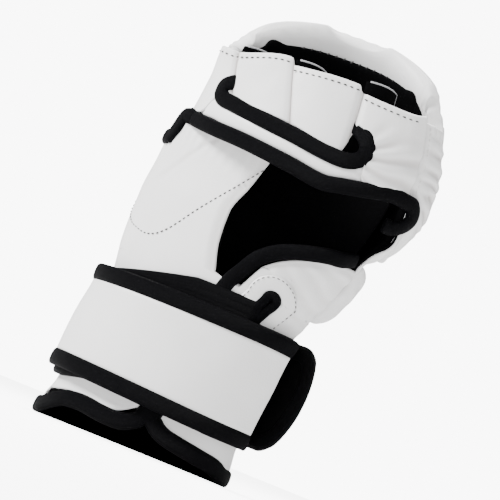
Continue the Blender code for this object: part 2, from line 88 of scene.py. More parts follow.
# edges seen from the palm side, in millimetres across and up
openingEdge = np.array([
    (96, 3.5), (101, 2.6), (116, -1.5), (133, -2.5), (149, 2.6), (166, 7.5), (180, 12),
], float)
arcEdge = np.array([(18.8, 101), (25, 113), (38.5, 123), (53, 128), (66, 129)], float)
barEdge = np.array([
    (-46, 177.2, 186.0), (-38, 176.6, 187.5), (-29, 175.8, 186.1), (-24, 174.8, 184.6),
    (-8, 173.4, 181.4), (8, 171.6, 179.2), (23, 169.8, 177.4), (40, 167.6, 174.9),
    (50, 169.6, 175.6), (60, 172, 182), (73, 175.4, 190), (84, 172, 196),
], float)
loopTops = np.array([
    (-50, 215.5), (-38, 214), (-31, 213), (-1, 219), (2, 215.5),
    (39, 217.5), (41, 214.5), (60, 213), (72, 214), (82, 219),
], float)
loopFeet = np.array([
    (-50, 176.5), (-38, 177.5), (-35, 179), (-31, 189), (-24, 188.6),
    (12, 186), (43, 181.8), (45.5, 197), (48, 197.5), (52, 193),
    (55, 186), (57, 174), (62, 171.5), (73, 174.5), (84, 174.5),
], float)
slitFoot, slitTop, slitHalf = (-0.5, 28.0), (36.4, 104.0), 5.0
strapLow, strapHigh = 25.0, 85.0
frontCorner, backCorner, tipCorner = 214.0, 150.0, 36.0
slitArch = slitTop[1] - slitHalf  # centre of the slit's round top


def mix(a, b, t):
    return a + (b - a) * t


def ease(x, start, stop):
    t = np.clip((np.asarray(x, float) - start) / (stop - start), 0, 1)
    return t * t * (3 - 2 * t)


def curveAt(rows, key, column=1):
    # smooth value between the rows of a table
    key = np.clip(np.asarray(key, float), rows[0, 0], rows[-1, 0])
    x, y = rows[:, 0], rows[:, column]
    steps = np.diff(y) / np.diff(x)
    slopes = np.empty(len(x))
    slopes[0], slopes[-1] = steps[0], steps[-1]
    middle = (y[2:] - y[:-2]) / (x[2:] - x[:-2])
    slopes[1:-1] = np.where(steps[1:] * steps[:-1] <= 0, 0.0, middle)
    i = np.clip(np.searchsorted(x, key, side="right") - 1, 0, len(x) - 2)
    h = x[i + 1] - x[i]
    t = (key - x[i]) / h
    return (
        (2 * t**3 - 3 * t**2 + 1) * y[i] + (t**3 - 2 * t**2 + t) * slopes[i] * h
        + (-2 * t**3 + 3 * t**2) * y[i + 1] + (t**3 - t**2) * slopes[i + 1] * h
    )


def sectionPoint(sections, key, angle, z):
    left, right, front, back, middle = (curveAt(sections, key, c) for c in range(1, 6))
    c, s = np.cos(np.radians(angle)), np.sin(np.radians(angle))
    depth = np.where(s >= 0, back - middle, middle - front)
    x = (left + right) / 2 + c * (right - left) / 2 - centreX
    return np.stack(np.broadcast_arrays(x, middle + s * depth - centreY, z), axis=-1).astype(float)


def handForm(angle, z):
    return sectionPoint(wristSections, z, angle, z)


def guardKey(z):
    return (z - 142.0) / 82.0


def guardForm(angle, share):
    low, high = curveAt(guardEdges, angle, 1), curveAt(guardEdges, angle, 2)
    z = low + share * (high - low)
    back = np.maximum(0.0, np.sin(np.radians(angle)))
    return sectionPoint(guardSections, guardKey(z) * (1 - back) + share * back, angle, z)


def fingerForm(angle, z):
    return sectionPoint(guardSections, guardKey(z), angle, z)


def frontAngle(sections, key, x):
    left, right = curveAt(sections, key, 1), curveAt(sections, key, 2)
    share = np.clip((x - (left + right) / 2) / ((right - left) / 2), -0.9995, 0.9995)
    return 360 - np.degrees(np.arccos(share))


def handAngle(x, z):
    return frontAngle(wristSections, z, x)


def fingerAngle(x, z):
    return frontAngle(guardSections, guardKey(z), x)


def slitX(z):
    return mix(slitFoot[0], slitTop[0], (z - slitFoot[1]) / (slitTop[1] - slitFoot[1]))


def lobeLow(x):
    # the white edge of the two front lobes, rising to the wrist slit
    away = np.abs(x - slitX(slitFoot[1]))
    left = 15.8 + 10.0 * np.exp(-((away / 7.5) ** 2)) + 1.8 * np.exp(-(((away - 38.0) / 12.0) ** 2))
    right = 18.8 - 8.6 * np.minimum(1.0, away / 50.0) + 6.5 * np.exp(-((away / 7.0) ** 2))
    return np.where(x < slitX(slitFoot[1]), left, right)


def lobeLine(side):
    # middle of a front lobe's binding, from under the strap down the slit and along the lobe
    foot = slitX(slitFoot[1])
    away = np.linspace(5.5, 50.0 if side < 0 else 36.0, 40)
    leg = np.linspace(42.0, 28.0, 8)
    x = np.concatenate([slitX(leg) + side * slitHalf, foot + side * away])
    z = np.concatenate([leg, lobeLow(foot + side * away)])
    step = np.gradient(np.column_stack([x, z]), axis=0)
    step /= np.linalg.norm(step, axis=1, keepdims=True)
    return np.column_stack([x + side * step[:, 1] * 3.9, z - side * step[:, 0] * 3.9])


def gridNormals(points):
    across = np.gradient(points, axis=1)
    up = np.gradient(points, axis=0)
    n = np.cross(across, up)
    return n / np.maximum(np.linalg.norm(n, axis=-1, keepdims=True), 1e-9)


def gridUV(nu, nv):
    return np.meshgrid(np.linspace(0, 1, nu + 1), np.linspace(0, 1, nv + 1))


def noiseField(points, size, seed):
    # soft noise at each point, about -1 to 1, with lumps of the given size in millimetres
    flat = points.reshape(-1, 3) / size + seed * 7.31
    return np.array([noise.noise(Vector(p)) for p in flat]).reshape(points.shape[:-1])


def newObject(name, verts, faces, material):
    mesh = bpy.data.meshes.new(name)
    mesh.from_pydata([tuple(v) for v in np.asarray(verts) * mm], [], faces)
    bm = bmesh.new()
    bm.from_mesh(mesh)
    bmesh.ops.recalc_face_normals(bm, faces=bm.faces)
    bm.to_mesh(mesh)
    bm.free()
    mesh.shade_smooth()
    mesh.materials.append(material)
    piece = bpy.data.objects.new(name, mesh)
    bpy.context.scene.collection.objects.link(piece)
    return piece


def gridSolid(name, outer, inner, material, rim=0.0):
    # the closed solid between two grids of points, with its edges rounded by rim millimetres
    nv, nu = outer.shape[0] - 1, outer.shape[1] - 1
    verts = np.concatenate([outer.reshape(-1, 3), inner.reshape(-1, 3)])
    row, layer = nu + 1, (nu + 1) * (nv + 1)
    faces = []
    for j in range(nv):
        for i in range(nu):
            a = j * row + i
            faces.append((a, a + 1, a + row + 1, a + row))
            faces.append((a + layer, a + row + layer, a + row + 1 + layer, a + 1 + layer))
    edge = [i for i in range(nu)] + [j * row + nu for j in range(nv)]
    edge += [nv * row + i for i in range(nu, 0, -1)] + [j * row for j in range(nv, 0, -1)]
    base = len(verts)
    if rim:
        # one more ring between the two faces, pushed out, makes the edge round
        middle = (verts[edge] + verts[np.array(edge) + layer]) / 2
        away = []
        for k, a in enumerate(edge):
            j, i = divmod(a, row)
            nj, ni = min(max(j, 1), nv - 1), min(max(i, 1), nu - 1)
            d = verts[a] - verts[nj * row + ni]
            away.append(d / max(np.linalg.norm(d), 1e-9))
        verts = np.concatenate([verts, middle + np.array(away) * rim])
    for k, a in enumerate(edge):
        n = (k + 1) % len(edge)
        b = edge[n]
        if rim:
            faces.append((a, base + k, base + n, b))
            faces.append((base + k, a + layer, b + layer, base + n))
        else:
            faces.append((a, a + layer, b + layer, b))
    return newObject(name, verts, faces, material)


def skin(name, form, a, b, outer, inner, material, rim=0.5):
    base = form(a, b)
    n = gridNormals(base)
    outer = np.broadcast_to(np.asarray(outer, float), base.shape[:-1])
    inner = np.broadcast_to(np.asarray(inner, float), base.shape[:-1])
    return gridSolid(name, base + n * outer[..., None], base + n * inner[..., None], material, rim)


def tape(name, points, ups, width, thick, material, sides=14):
    # a round-edged tape along a path, with its UV map in millimetres along and across
    points, ups = np.asarray(points, float), np.asarray(ups, float)
    count = len(points)
    along = np.gradient(points, axis=0)
    along /= np.linalg.norm(along, axis=1, keepdims=True)
    side = np.cross(ups, along)
    side /= np.linalg.norm(side, axis=1, keepdims=True)
    rise = np.cross(along, side)
    turn = 2 * np.pi * (np.arange(sides) + 0.5) / sides
    c, s = np.cos(turn), np.sin(turn)
    across = np.sign(c) * np.abs(c) ** 0.75 * width / 2
    height = np.sign(s) * np.abs(s) ** 0.75 * thick / 2
    verts = points[:, None] + side[:, None] * across[None, :, None] + rise[:, None] * height[None, :, None]
    faces = []
    for k in range(count - 1):
        a, b = k * sides, (k + 1) * sides
        for i in range(sides):
            t = (i + 1) % sides
            faces.append((a + i, a + t, b + t, b + i))
    faces.append(tuple(range(sides)))
    faces.append(tuple((count - 1) * sides + i for i in reversed(range(sides))))
    piece = newObject(name, verts.reshape(-1, 3), faces, material)
    step = np.concatenate([[0], np.cumsum(np.linalg.norm(np.diff(points, axis=0), axis=1))])
    uv = piece.data.uv_layers.new(name="UVMap")
    for loop in piece.data.loops:
        k, n = divmod(loop.vertex_index, sides)
        uv.data[loop.index].uv = (step[k], across[n])
    return piece


def smoothPath(points, count):
    # evenly spaced points on a smooth curve through the given ones
    points = np.asarray(points, float)
    d = np.concatenate([[0], np.cumsum(np.linalg.norm(np.diff(points, axis=0), axis=1))])
    fine = np.linspace(0, d[-1], count)
    columns = [curveAt(np.column_stack([d, column]), fine) for column in points.T]
    return np.stack(columns, axis=1)


def onForm(form, a, b, lift):
    # points and outward normals along a line on a form
    a, b = np.asarray(a, float), np.asarray(b, float)
    step = 0.004 if form is guardForm else 0.4
    da = form(a + 0.4, b) - form(a - 0.4, b)
    db = form(a, b + step) - form(a, b - step)
    n = np.cross(da, db)
    n /= np.linalg.norm(n, axis=-1, keepdims=True)
    lift = np.asarray(lift, float)
    return form(a, b) + n * (lift.reshape(-1, 1) if lift.ndim else lift), n


def shaderGroup(name, build, inputs, outputs):
    group = bpy.data.node_groups.new(name, "ShaderNodeTree")
    for socket, kind, value in inputs:
        made = group.interface.new_socket(socket, in_out="INPUT", socket_type=kind)
        if value is not None:
            made.default_value = value
    for socket, kind in outputs:
        group.interface.new_socket(socket, in_out="OUTPUT", socket_type=kind)
    build(group.nodes, group.links, group.nodes.new("NodeGroupInput"), group.nodes.new("NodeGroupOutput"))
    return group


def makeNode(nodes, kind, **values):
    node = nodes.new(kind)
    for key, value in values.items():
        setattr(node, key, value)
    return node


def buildGrain(nodes, links, given, made):
    # leather grain: small cells, fine pores and slow colour change
    coords = makeNode(nodes, "ShaderNodeTexCoord")
    cells = makeNode(nodes, "ShaderNodeTexVoronoi", feature="SMOOTH_F1")
    pores = makeNode(nodes, "ShaderNodeTexNoise")
    slow = makeNode(nodes, "ShaderNodeTexNoise")
    creases = makeNode(nodes, "ShaderNodeTexNoise")
    pores.inputs["Scale"].default_value = 2600
    pores.inputs["Detail"].default_value = 3
    slow.inputs["Scale"].default_value = 26
    slow.inputs["Detail"].default_value = 3
    creases.inputs["Scale"].default_value = 130
    creases.inputs["Detail"].default_value = 5
    creases.inputs["Distortion"].default_value = 0.6
    for node in (cells, pores, slow, creases):
        links.new(coords.outputs["Object"], node.inputs["Vector"])
    links.new(given.outputs["Grain Scale"], cells.inputs["Scale"])
    first = makeNode(nodes, "ShaderNodeMath", operation="MULTIPLY_ADD")
    links.new(pores.outputs[0], first.inputs[0])
    first.inputs[1].default_value = 0.35
    links.new(cells.outputs["Distance"], first.inputs[2])
    second = makeNode(nodes, "ShaderNodeMath", operation="MULTIPLY_ADD")
    links.new(creases.outputs[0], second.inputs[0])
    links.new(given.outputs["Crease"], second.inputs[1])
    links.new(first.outputs[0], second.inputs[2])
    links.new(second.outputs[0], made.inputs["Height"])
    links.new(slow.outputs[0], made.inputs["Patches"])


def buildWeave(nodes, links, given, made):
    # fine woven ribs, running across the tape or cloth
    coords = makeNode(nodes, "ShaderNodeTexCoord")
    ribs = makeNode(nodes, "ShaderNodeTexWave", wave_type="BANDS", bands_direction="X", wave_profile="SIN")
    wales = makeNode(nodes, "ShaderNodeTexWave", wave_type="BANDS", bands_direction="Y", wave_profile="SIN")
    fuzz = makeNode(nodes, "ShaderNodeTexNoise")
    fuzz.inputs["Scale"].default_value = 900
    links.new(given.outputs["Vector"], ribs.inputs["Vector"])
    links.new(given.outputs["Vector"], wales.inputs["Vector"])
    links.new(coords.outputs["Object"], fuzz.inputs["Vector"])
    links.new(given.outputs["Rib Scale"], ribs.inputs["Scale"])
    links.new(given.outputs["Rib Scale"], wales.inputs["Scale"])
    both = makeNode(nodes, "ShaderNodeMath", operation="MULTIPLY_ADD")
    links.new(wales.outputs["Fac"], both.inputs[0])
    both.inputs[1].default_value = 0.45
    links.new(ribs.outputs["Fac"], both.inputs[2])
    rough = makeNode(nodes, "ShaderNodeMath", operation="MULTIPLY_ADD")
    links.new(fuzz.outputs[0], rough.inputs[0])
    rough.inputs[1].default_value = 0.6
    links.new(both.outputs[0], rough.inputs[2])
    links.new(rough.outputs[0], made.inputs["Height"])
    links.new(fuzz.outputs[0], made.inputs["Fuzz"])


def finish(name, colour, roughness, specular):
    material = bpy.data.materials.new(name)
    material.use_nodes = True
    shader = material.node_tree.nodes["Principled BSDF"]
    shader.inputs["Base Color"].default_value = (*colour, 1)
    shader.inputs["Roughness"].default_value = roughness
    shader.inputs["Specular IOR Level"].default_value = specular
    return material, material.node_tree.nodes, material.node_tree.links, shader


def addBump(nodes, links, shader, height, strength, distance):
    bump = makeNode(nodes, "ShaderNodeBump")
    bump.inputs["Strength"].default_value = strength
    bump.inputs["Distance"].default_value = distance
    links.new(height, bump.inputs["Height"])
    links.new(bump.outputs[0], shader.inputs["Normal"])


def ramp(nodes, links, source, stops):
    node = makeNode(nodes, "ShaderNodeValToRGB")
    links.new(source, node.inputs[0])
    elements = node.color_ramp.elements
    for k, (place, colour) in enumerate(stops):
        element = elements[k] if k < 2 else elements.new(place)
        element.position = place
        element.color = (*colour, 1)
    return node.outputs[0]


grain = shaderGroup(
    "leatherGrain", buildGrain,
    [("Grain Scale", "NodeSocketFloat", 900.0), ("Crease", "NodeSocketFloat", 0.6)],
    [("Height", "NodeSocketFloat"), ("Patches", "NodeSocketFloat")],
)
weave = shaderGroup(
    "wovenRibs", buildWeave,
    [("Vector", "NodeSocketVector", None), ("Rib Scale", "NodeSocketFloat", 1.0)],
    [("Height", "NodeSocketFloat"), ("Fuzz", "NodeSocketFloat")],
)


def makeLeather(name, tones, creases):
    material, nodes, links, shader = finish(name, tones[0], 0.42, 0.42)
    group = makeNode(nodes, "ShaderNodeGroup", node_tree=grain)
    group.inputs["Grain Scale"].default_value = 950
    group.inputs["Crease"].default_value = creases
    # the per-point attribute pulls the colour towards the third tone: painted shade in folds and along seams
    paintedFoldShade = makeNode(nodes, "ShaderNodeAttribute", attribute_name="paintedFoldShade")
    patches = ramp(nodes, links, group.outputs["Patches"], [(0.3, tones[0]), (0.7, tones[1])])
    blend = makeNode(nodes, "ShaderNodeMix", data_type="RGBA")
    links.new(paintedFoldShade.outputs["Fac"], blend.inputs["Factor"])
    links.new(patches, blend.inputs["A"])
    blend.inputs["B"].default_value = (*tones[2], 1)
    links.new(blend.outputs["Result"], shader.inputs["Base Color"])
    rough = makeNode(nodes, "ShaderNodeMapRange")
    links.new(group.outputs["Patches"], rough.inputs["Value"])
    rough.inputs["To Min"].default_value = 0.36
    rough.inputs["To Max"].default_value = 0.52
    links.new(rough.outputs[0], shader.inputs["Roughness"])
    addBump(nodes, links, shader, group.outputs["Height"], 0.35, 0.00022)
    return material


def makeWoven(name, colour, ribScale, roughness, bump, useMap):
    material, nodes, links, shader = finish(name, colour, roughness, 0.03)
    group = makeNode(nodes, "ShaderNodeGroup", node_tree=weave)
    group.inputs["Rib Scale"].default_value = ribScale
    coords = makeNode(nodes, "ShaderNodeTexCoord")
    links.new(coords.outputs["UV" if useMap else "Object"], group.inputs["Vector"])
    light = tuple(c * 1.8 for c in colour)
    tone = ramp(nodes, links, group.outputs["Fuzz"], [(0.35, colour), (0.8, light)])
    links.new(tone, shader.inputs["Base Color"])
    addBump(nodes, links, shader, group.outputs["Height"], bump, 0.0003)
    return material


def makeThread(name, colour):
    material, nodes, links, shader = finish(name, colour, 0.6, 0.3)
    coords = makeNode(nodes, "ShaderNodeTexCoord")
    twist = makeNode(nodes, "ShaderNodeTexWave", wave_type="BANDS", bands_direction="DIAGONAL")
    twist.inputs["Scale"].default_value = 1200
    links.new(coords.outputs["Object"], twist.inputs["Vector"])
    tone = ramp(nodes, links, twist.outputs["Fac"], [(0.2, colour), (0.9, tuple(c * 1.6 for c in colour))])
    links.new(tone, shader.inputs["Base Color"])
    addBump(nodes, links, shader, twist.outputs["Fac"], 0.4, 0.0001)
    return material


# the first two tones are the leather's own patchy tone; the third is the painted shade in folds and along seams
whiteTones = ((0.80, 0.795, 0.79), (0.74, 0.735, 0.73), (0.50, 0.465, 0.45))
leather = makeLeather("whiteLeather", whiteTones, 0.5)
gathered = makeLeather("gatheredLeather", whiteTones, 1.1)
paleEdge = makeLeather("cutLeatherEdge", ((0.36, 0.36, 0.37), (0.28, 0.28, 0.29), (0.2, 0.2, 0.2)), 0.3)
binding = makeWoven("blackBinding", (0.0015, 0.0015, 0.0019), 0.6, 0.5, 0.7, True)
lining = makeWoven("blackLining", (0.0012, 0.0012, 0.0014), 500.0, 0.95, 0.25, False)
hookLoop = makeWoven("hookAndLoop", (0.0045, 0.0045, 0.005), 420.0, 0.95, 0.9, False)
thread = makeThread("darkThread", (0.03, 0.028, 0.028))
paleThread = makeThread("paleThread", (0.55, 0.54, 0.53))
print("materials made")


def meshOf(piece):
    # a plain mesh of the piece as its modifiers leave it
    return bpy.data.meshes.new_from_object(piece.evaluated_get(bpy.context.evaluated_depsgraph_get()))


def setPaintedShade(piece, values):
    # painted shade per point in folds and along seams, 0 to 1
    attribute = piece.data.attributes.new("paintedFoldShade", "FLOAT", "POINT")
    full = np.zeros(len(piece.data.vertices), np.float32)
    flat = np.asarray(values, np.float32).reshape(-1)
    full[:len(flat)] = flat
    attribute.data.foreach_set("value", full)


def stitchTree():
    tree = bpy.data.node_groups.new("stitchRow", "GeometryNodeTree")
    sockets = {}
    tree.interface.new_socket("Geometry", in_out="INPUT", socket_type="NodeSocketGeometry")
    for name, kind, value in (
        ("Spacing", "NodeSocketFloat", 0.0037), ("Length", "NodeSocketFloat", 0.0021),
        ("Thickness", "NodeSocketFloat", 0.00035), ("Tilt", "NodeSocketFloat", 0.0),
        ("Material", "NodeSocketMaterial", None),
    ):
        made = tree.interface.new_socket(name, in_out="INPUT", socket_type=kind)
        if value is not None:
            made.default_value = value
        sockets[name] = made.identifier
    tree.interface.new_socket("Geometry", in_out="OUTPUT", socket_type="NodeSocketGeometry")
    nodes, links = tree.nodes, tree.links
    given, made = nodes.new("NodeGroupInput"), nodes.new("NodeGroupOutput")
    resample = makeNode(nodes, "GeometryNodeResampleCurve", mode="LENGTH")
    points = makeNode(nodes, "GeometryNodeInstanceOnPoints")
    ball = makeNode(nodes, "GeometryNodeMeshUVSphere")
    ball.inputs["Segments"].default_value = 6
    ball.inputs["Rings"].default_value = 4
    ball.inputs["Radius"].default_value = 1.0
    tangent = makeNode(nodes, "GeometryNodeInputTangent")
    turn = makeNode(nodes, "FunctionNodeAlignRotationToVector", axis="X")
    yaw = makeNode(nodes, "FunctionNodeRotateRotation", rotation_space="LOCAL")
    euler = makeNode(nodes, "FunctionNodeEulerToRotation")
    tilt = makeNode(nodes, "ShaderNodeCombineXYZ")
    size = makeNode(nodes, "ShaderNodeCombineXYZ")
    half = makeNode(nodes, "ShaderNodeMath", operation="MULTIPLY")
    half.inputs[1].default_value = 0.5
    realize = nodes.new("GeometryNodeRealizeInstances")
    paint = nodes.new("GeometryNodeSetMaterial")
    links.new(given.outputs["Geometry"], resample.inputs["Curve"])
    links.new(given.outputs["Spacing"], resample.inputs["Length"])
    links.new(resample.outputs[0], points.inputs["Points"])
    links.new(ball.outputs["Mesh"], points.inputs["Instance"])
    links.new(tangent.outputs[0], turn.inputs["Vector"])
    links.new(turn.outputs[0], yaw.inputs["Rotation"])
    links.new(given.outputs["Tilt"], tilt.inputs["Y"])
    links.new(tilt.outputs[0], euler.inputs[0])
    links.new(euler.outputs[0], yaw.inputs["Rotate By"])
    links.new(yaw.outputs[0], points.inputs["Rotation"])
    links.new(given.outputs["Length"], half.inputs[0])
    links.new(half.outputs[0], size.inputs["X"])
    links.new(given.outputs["Thickness"], size.inputs["Y"])
    links.new(given.outputs["Thickness"], size.inputs["Z"])
    links.new(size.outputs[0], points.inputs["Scale"])
    links.new(points.outputs[0], realize.inputs[0])
    links.new(realize.outputs[0], paint.inputs["Geometry"])
    links.new(given.outputs["Material"], paint.inputs["Material"])
    links.new(paint.outputs[0], made.inputs["Geometry"])
    return tree, sockets


stitchRow, stitchSockets = stitchTree()


def stitches(name, paths, body, colour=None, spacing=3.7, length=2.2, thick=0.34, tilt=0.0):
    # rows of separate stitches along paths of points in millimetres
    curve = bpy.data.curves.new(name + "Line", "CURVE")
    curve.dimensions = "3D"
    for path in paths:
        spline = curve.splines.new("POLY")
        spline.points.add(len(path) - 1)
        corners = np.column_stack([np.asarray(path) * mm, np.ones(len(path))])
        spline.points.foreach_set("co", corners.reshape(-1))
    line = bpy.data.objects.new(name + "Line", curve)
    bpy.context.scene.collection.objects.link(line)
    modifier = line.modifiers.new("stitches", "NODES")
    modifier.node_group = stitchRow
    values = {
        "Spacing": spacing * mm, "Length": length * mm, "Thickness": thick * mm,
        "Tilt": tilt, "Material": colour or thread,
    }
    for key, value in values.items():
        modifier[stitchSockets[key]] = value
    bpy.context.view_layer.update()
    mesh = meshOf(line)
    mesh.name = name
    piece = bpy.data.objects.new(name, mesh)
    bpy.context.scene.collection.objects.link(piece)
    bpy.data.objects.remove(line)
    bpy.data.curves.remove(curve)
    if body:
        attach(piece, body)
    return piece


palm = dict(puff=1.3, wrinkle=0.35, leather=1.5, thumbTop=158.5, mouthRise=13.0, mouthWidth=8.6, mouthThick=5.6)


def seamAngle(z, low, high):
    return mix(low, high, ease(z, 95.0, 97.0))


def mouthHeight(angle):
    # top edge of the thumb sleeve, low at the side and rising behind the palm bar
    return palm["thumbTop"] + palm["mouthRise"] * ease(angle, 200.0, 209.0) - 2.5 * ease(angle, 235.0, 262.0)


def palmGrid(nu, nv):
    u, v = gridUV(nu, nv)
    foot = slitX(slitFoot[1]) - slitHalf
    front = lobeLow(mix(-60, foot, np.maximum(0.0, u - 0.36) / 0.64))
    low = mix(8.6, front, ease(u, 0.16, 0.36))
    z = low + v * (mouthHeight(mix(172.5, 262.0, u)) - low)
    leg = slitX(z) - slitHalf
    edge = mix(leg, curveAt(openingEdge, z), ease(z, 97.5, 101.5))
    return u, v, mix(seamAngle(z, 158.3, 172.5), handAngle(edge, z), u), z


def makePalm():
    u, v, a, z = palmGrid(110, 150)
    base = handForm(a, z)
    calm = ease(u, 0, 0.08) * ease(1 - u, 0, 0.06) * ease(z, 84.0, 104.0)
    lift = palm["puff"] * calm
    lift += palm["wrinkle"] * noiseField(base * np.array([1, 1, 0.55]), 16, 1) * calm
    # small gathers below the thumb's mouth, and painted shade with no change of shape where the sleeve meets the
    # palm
    near = np.exp(-((z - mouthHeight(a) + 3) / 9.0) ** 2)
    lift += 0.35 * near * np.sin(a * 1.1) * ease(u, 0.02, 0.1)
    paintedFoldShade = 0.30 * np.exp(-((u - 1.0) / 0.03) ** 2) * ease(z, 98, 104)
    x = base[..., 0] + centreX
    seam = np.exp(-(((z - 163.0 - 1.22 * (x + 27.6)) / 2.2) ** 2))
    seam = seam * ease(z, 132, 142) * ease(a, 200, 208) * ease(a, 262, 244)
    lift -= 0.7 * seam
    piece = skin("palmLeather", handForm, a, z, lift, lift - palm["leather"], leather)
    # painted shade where the sleeve meets the palm and in the seam's groove
    setPaintedShade(piece, paintedFoldShade + 0.22 * seam)
    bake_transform(piece)
    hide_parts("thenar_panel", "thumb_front_panel")
    # curved row of stitches from the palm opening down to the thumb's base and round
    row = smoothPath([
        (6.1, 158.7), (-2.3, 148), (-17.7, 129), (-31.1, 112.3),
        (-40.5, 107.8), (-50.5, 110.3), (-54.5, 113),
    ], 160)
    spots = np.column_stack([handAngle(row[:, 0], row[:, 1]), row[:, 1]])
    spots = smoothPath([tuple(q) for q in spots[::12]] + [(185.0, 120.0), (180.0, 128.0)], 170)
    points, _ = onForm(handForm, spots[:, 0], spots[:, 1], palm["puff"] + 0.1)
    line = stitches("palmStitches", [points], None, spacing=2.75, length=1.8, thick=0.36)
    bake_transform(line)


def makeThumbMouth():
    t = np.linspace(0, 1, 70)
    a = mix(171.0, 268.0, t)
    z = mouthHeight(a) + 2.4
    points, ups = onForm(handForm, a, z, 1.3 - 1.0 * ease(a, 214, 226))
    piece = tape("thumbMouthBinding", points, ups, palm["mouthWidth"], palm["mouthThick"], binding)
    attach(piece, "thumb")
    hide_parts("thumb_mouth_binding")
    for node in ("thumb_front_lining", "thumb_inner_wall"):
        useMaterial(node, lining)


def useMaterial(node, material):
    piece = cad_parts[node]
    piece.data.materials.clear()
    piece.data.materials.append(material)


heel = dict(puff=1.2, wrinkle=0.4, leather=1.5, patchWidth=8.6, patchThick=1.6)


def makeHeel():
    u, v = gridUV(90, 130)
    foot = slitX(slitFoot[1]) + slitHalf
    low = mix(lobeLow(mix(foot, 38, np.minimum(1.0, u / 0.6))), 8.6, ease(u, 0.6, 0.75))
    top = slitTop[1] + 1.5
    high = curveAt(arcEdge, mix(slitX(top) - 13, 66, np.minimum(1.0, u / 0.75)))
    z = mix(low, high, v)
    edge = mix(slitX(z) + slitHalf, slitX(top) - 13, ease(z, top, top + 5))
    a = mix(handAngle(edge, z), seamAngle(z, 381.7, 361.5), u)
    base = handForm(a, z)
    calm = ease(u, 0, 0.1) * ease(1 - u, 0, 0.08) * ease(z, 84.0, 96.0) * ease(high - z, 0, 5)
    creases = np.sin(base[..., 0] * 0.36 + base[..., 2] * 0.62 + 2.5 * noiseField(base, 22, 3))
    lift = heel["puff"] * calm + 0.28 * calm * creases + heel["wrinkle"] * noiseField(base, 13, 2) * calm
    piece = skin("heelLeather", handForm, a, z, lift, lift - heel["leather"], leather)
    # painted shade in the troughs of the creases
    setPaintedShade(piece, 0.18 * calm * np.maximum(0, -creases))
    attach(piece, "cuff")
    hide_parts("heel_panel")
    # reinforcement round the top of the slit: leather band with a stitched outer edge
    corner = np.array([(88, 11.5), (95, 15.5), (101, 18.8), (107, 21.8), (113, 25)], float)
    u, v = gridUV(16, 24)
    z = mix(89.0, 112.5, v)
    x = mix(curveAt(corner, z), slitX(np.minimum(z, 100.0)) - 4.0 + 10.0 * ease(z, 99, 108), u)
    lift = heel["puff"] * ease(z, 84.0, 96.0) - 0.25
    piece = skin("heelCorner", handForm, handAngle(x, z), z, lift, lift - 1.3, leather)
    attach(piece, "cuff")

    def arch(radius, leftFoot):
        legs = [(slitX(z) + radius, z) for z in np.linspace(84.0, slitArch, 8)]
        for b in np.linspace(0.2, math.pi - 0.2, 12):
            legs.append((slitX(slitArch) + radius * math.cos(b), slitArch + radius * math.sin(b)))
        legs += [(slitX(z) - radius, z) for z in np.linspace(slitArch, leftFoot, 8)]
        line = smoothPath(legs, 150)
        return handAngle(line[:, 0], line[:, 1]), line[:, 1]

    a, z = arch(slitHalf + 3.4, 84.0)
    lifts = heel["puff"] * ease(z, 84.0, 96.0) + 0.5
    path, ups = onForm(handForm, a, z, lifts)
    patch = tape("slitPatch", path, ups, heel["patchWidth"], heel["patchThick"], leather, sides=10)
    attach(patch, "cuff")
    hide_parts("slit_patch")
    a, z = arch(slitHalf + 6.4, 96.0)
    line, _ = onForm(handForm, a, z, heel["puff"] * ease(z, 84.0, 96.0) + 1.25)
    stitches("slitStitches", [line], "cuff", spacing=2.7, length=1.7, thick=0.28)


def makeCuffBack():
    u, v = gridUV(60, 40)
    a = mix(22.4, 157.6, u)
    z = mix(8.6, 97.0, v)
    base = handForm(a, z)
    lift = 0.5 * np.sin(np.pi * u) ** 0.3 * noiseField(base, 20, 5) * ease(v, 0, 0.1)
    piece = skin("cuffBackLeather", handForm, a, z, lift, lift - 1.5, leather)
    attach(piece, "cuff")
    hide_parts("cuff_back_shell")
    for node in ("cuff_back_lining", "thenar_lining", "heel_lining"):
        useMaterial(node, lining)
    useMaterial("cuff_back_foam", lining)


backPad = dict(
    height=9.6, seams=(0.34, 0.67), seamDepth=3.4, seamWidth=0.016, wrinkle=0.45,
    fill=0.7, voxel=0.0035, pressure=4.0, swell=1.6,
)


def bake(piece, kind, **settings):
    # the piece's mesh with one modifier applied
    modifier = piece.modifiers.new(kind, kind)
    for key, value in settings.items():
        setattr(modifier, key, value)
    bpy.context.view_layer.update()
    mesh = meshOf(piece)
    piece.modifiers.remove(modifier)
    old = piece.data
    piece.data = mesh
    bpy.data.meshes.remove(old)


def vertexArray(piece, kind="vertices"):
    values = np.zeros(len(piece.data.vertices) * 3, np.float32)
    if kind == "vertices":
        piece.data.vertices.foreach_get("co", values)
    else:
        piece.data.vertex_normals.foreach_get("vector", values)
    return values.reshape(-1, 3).astype(float)


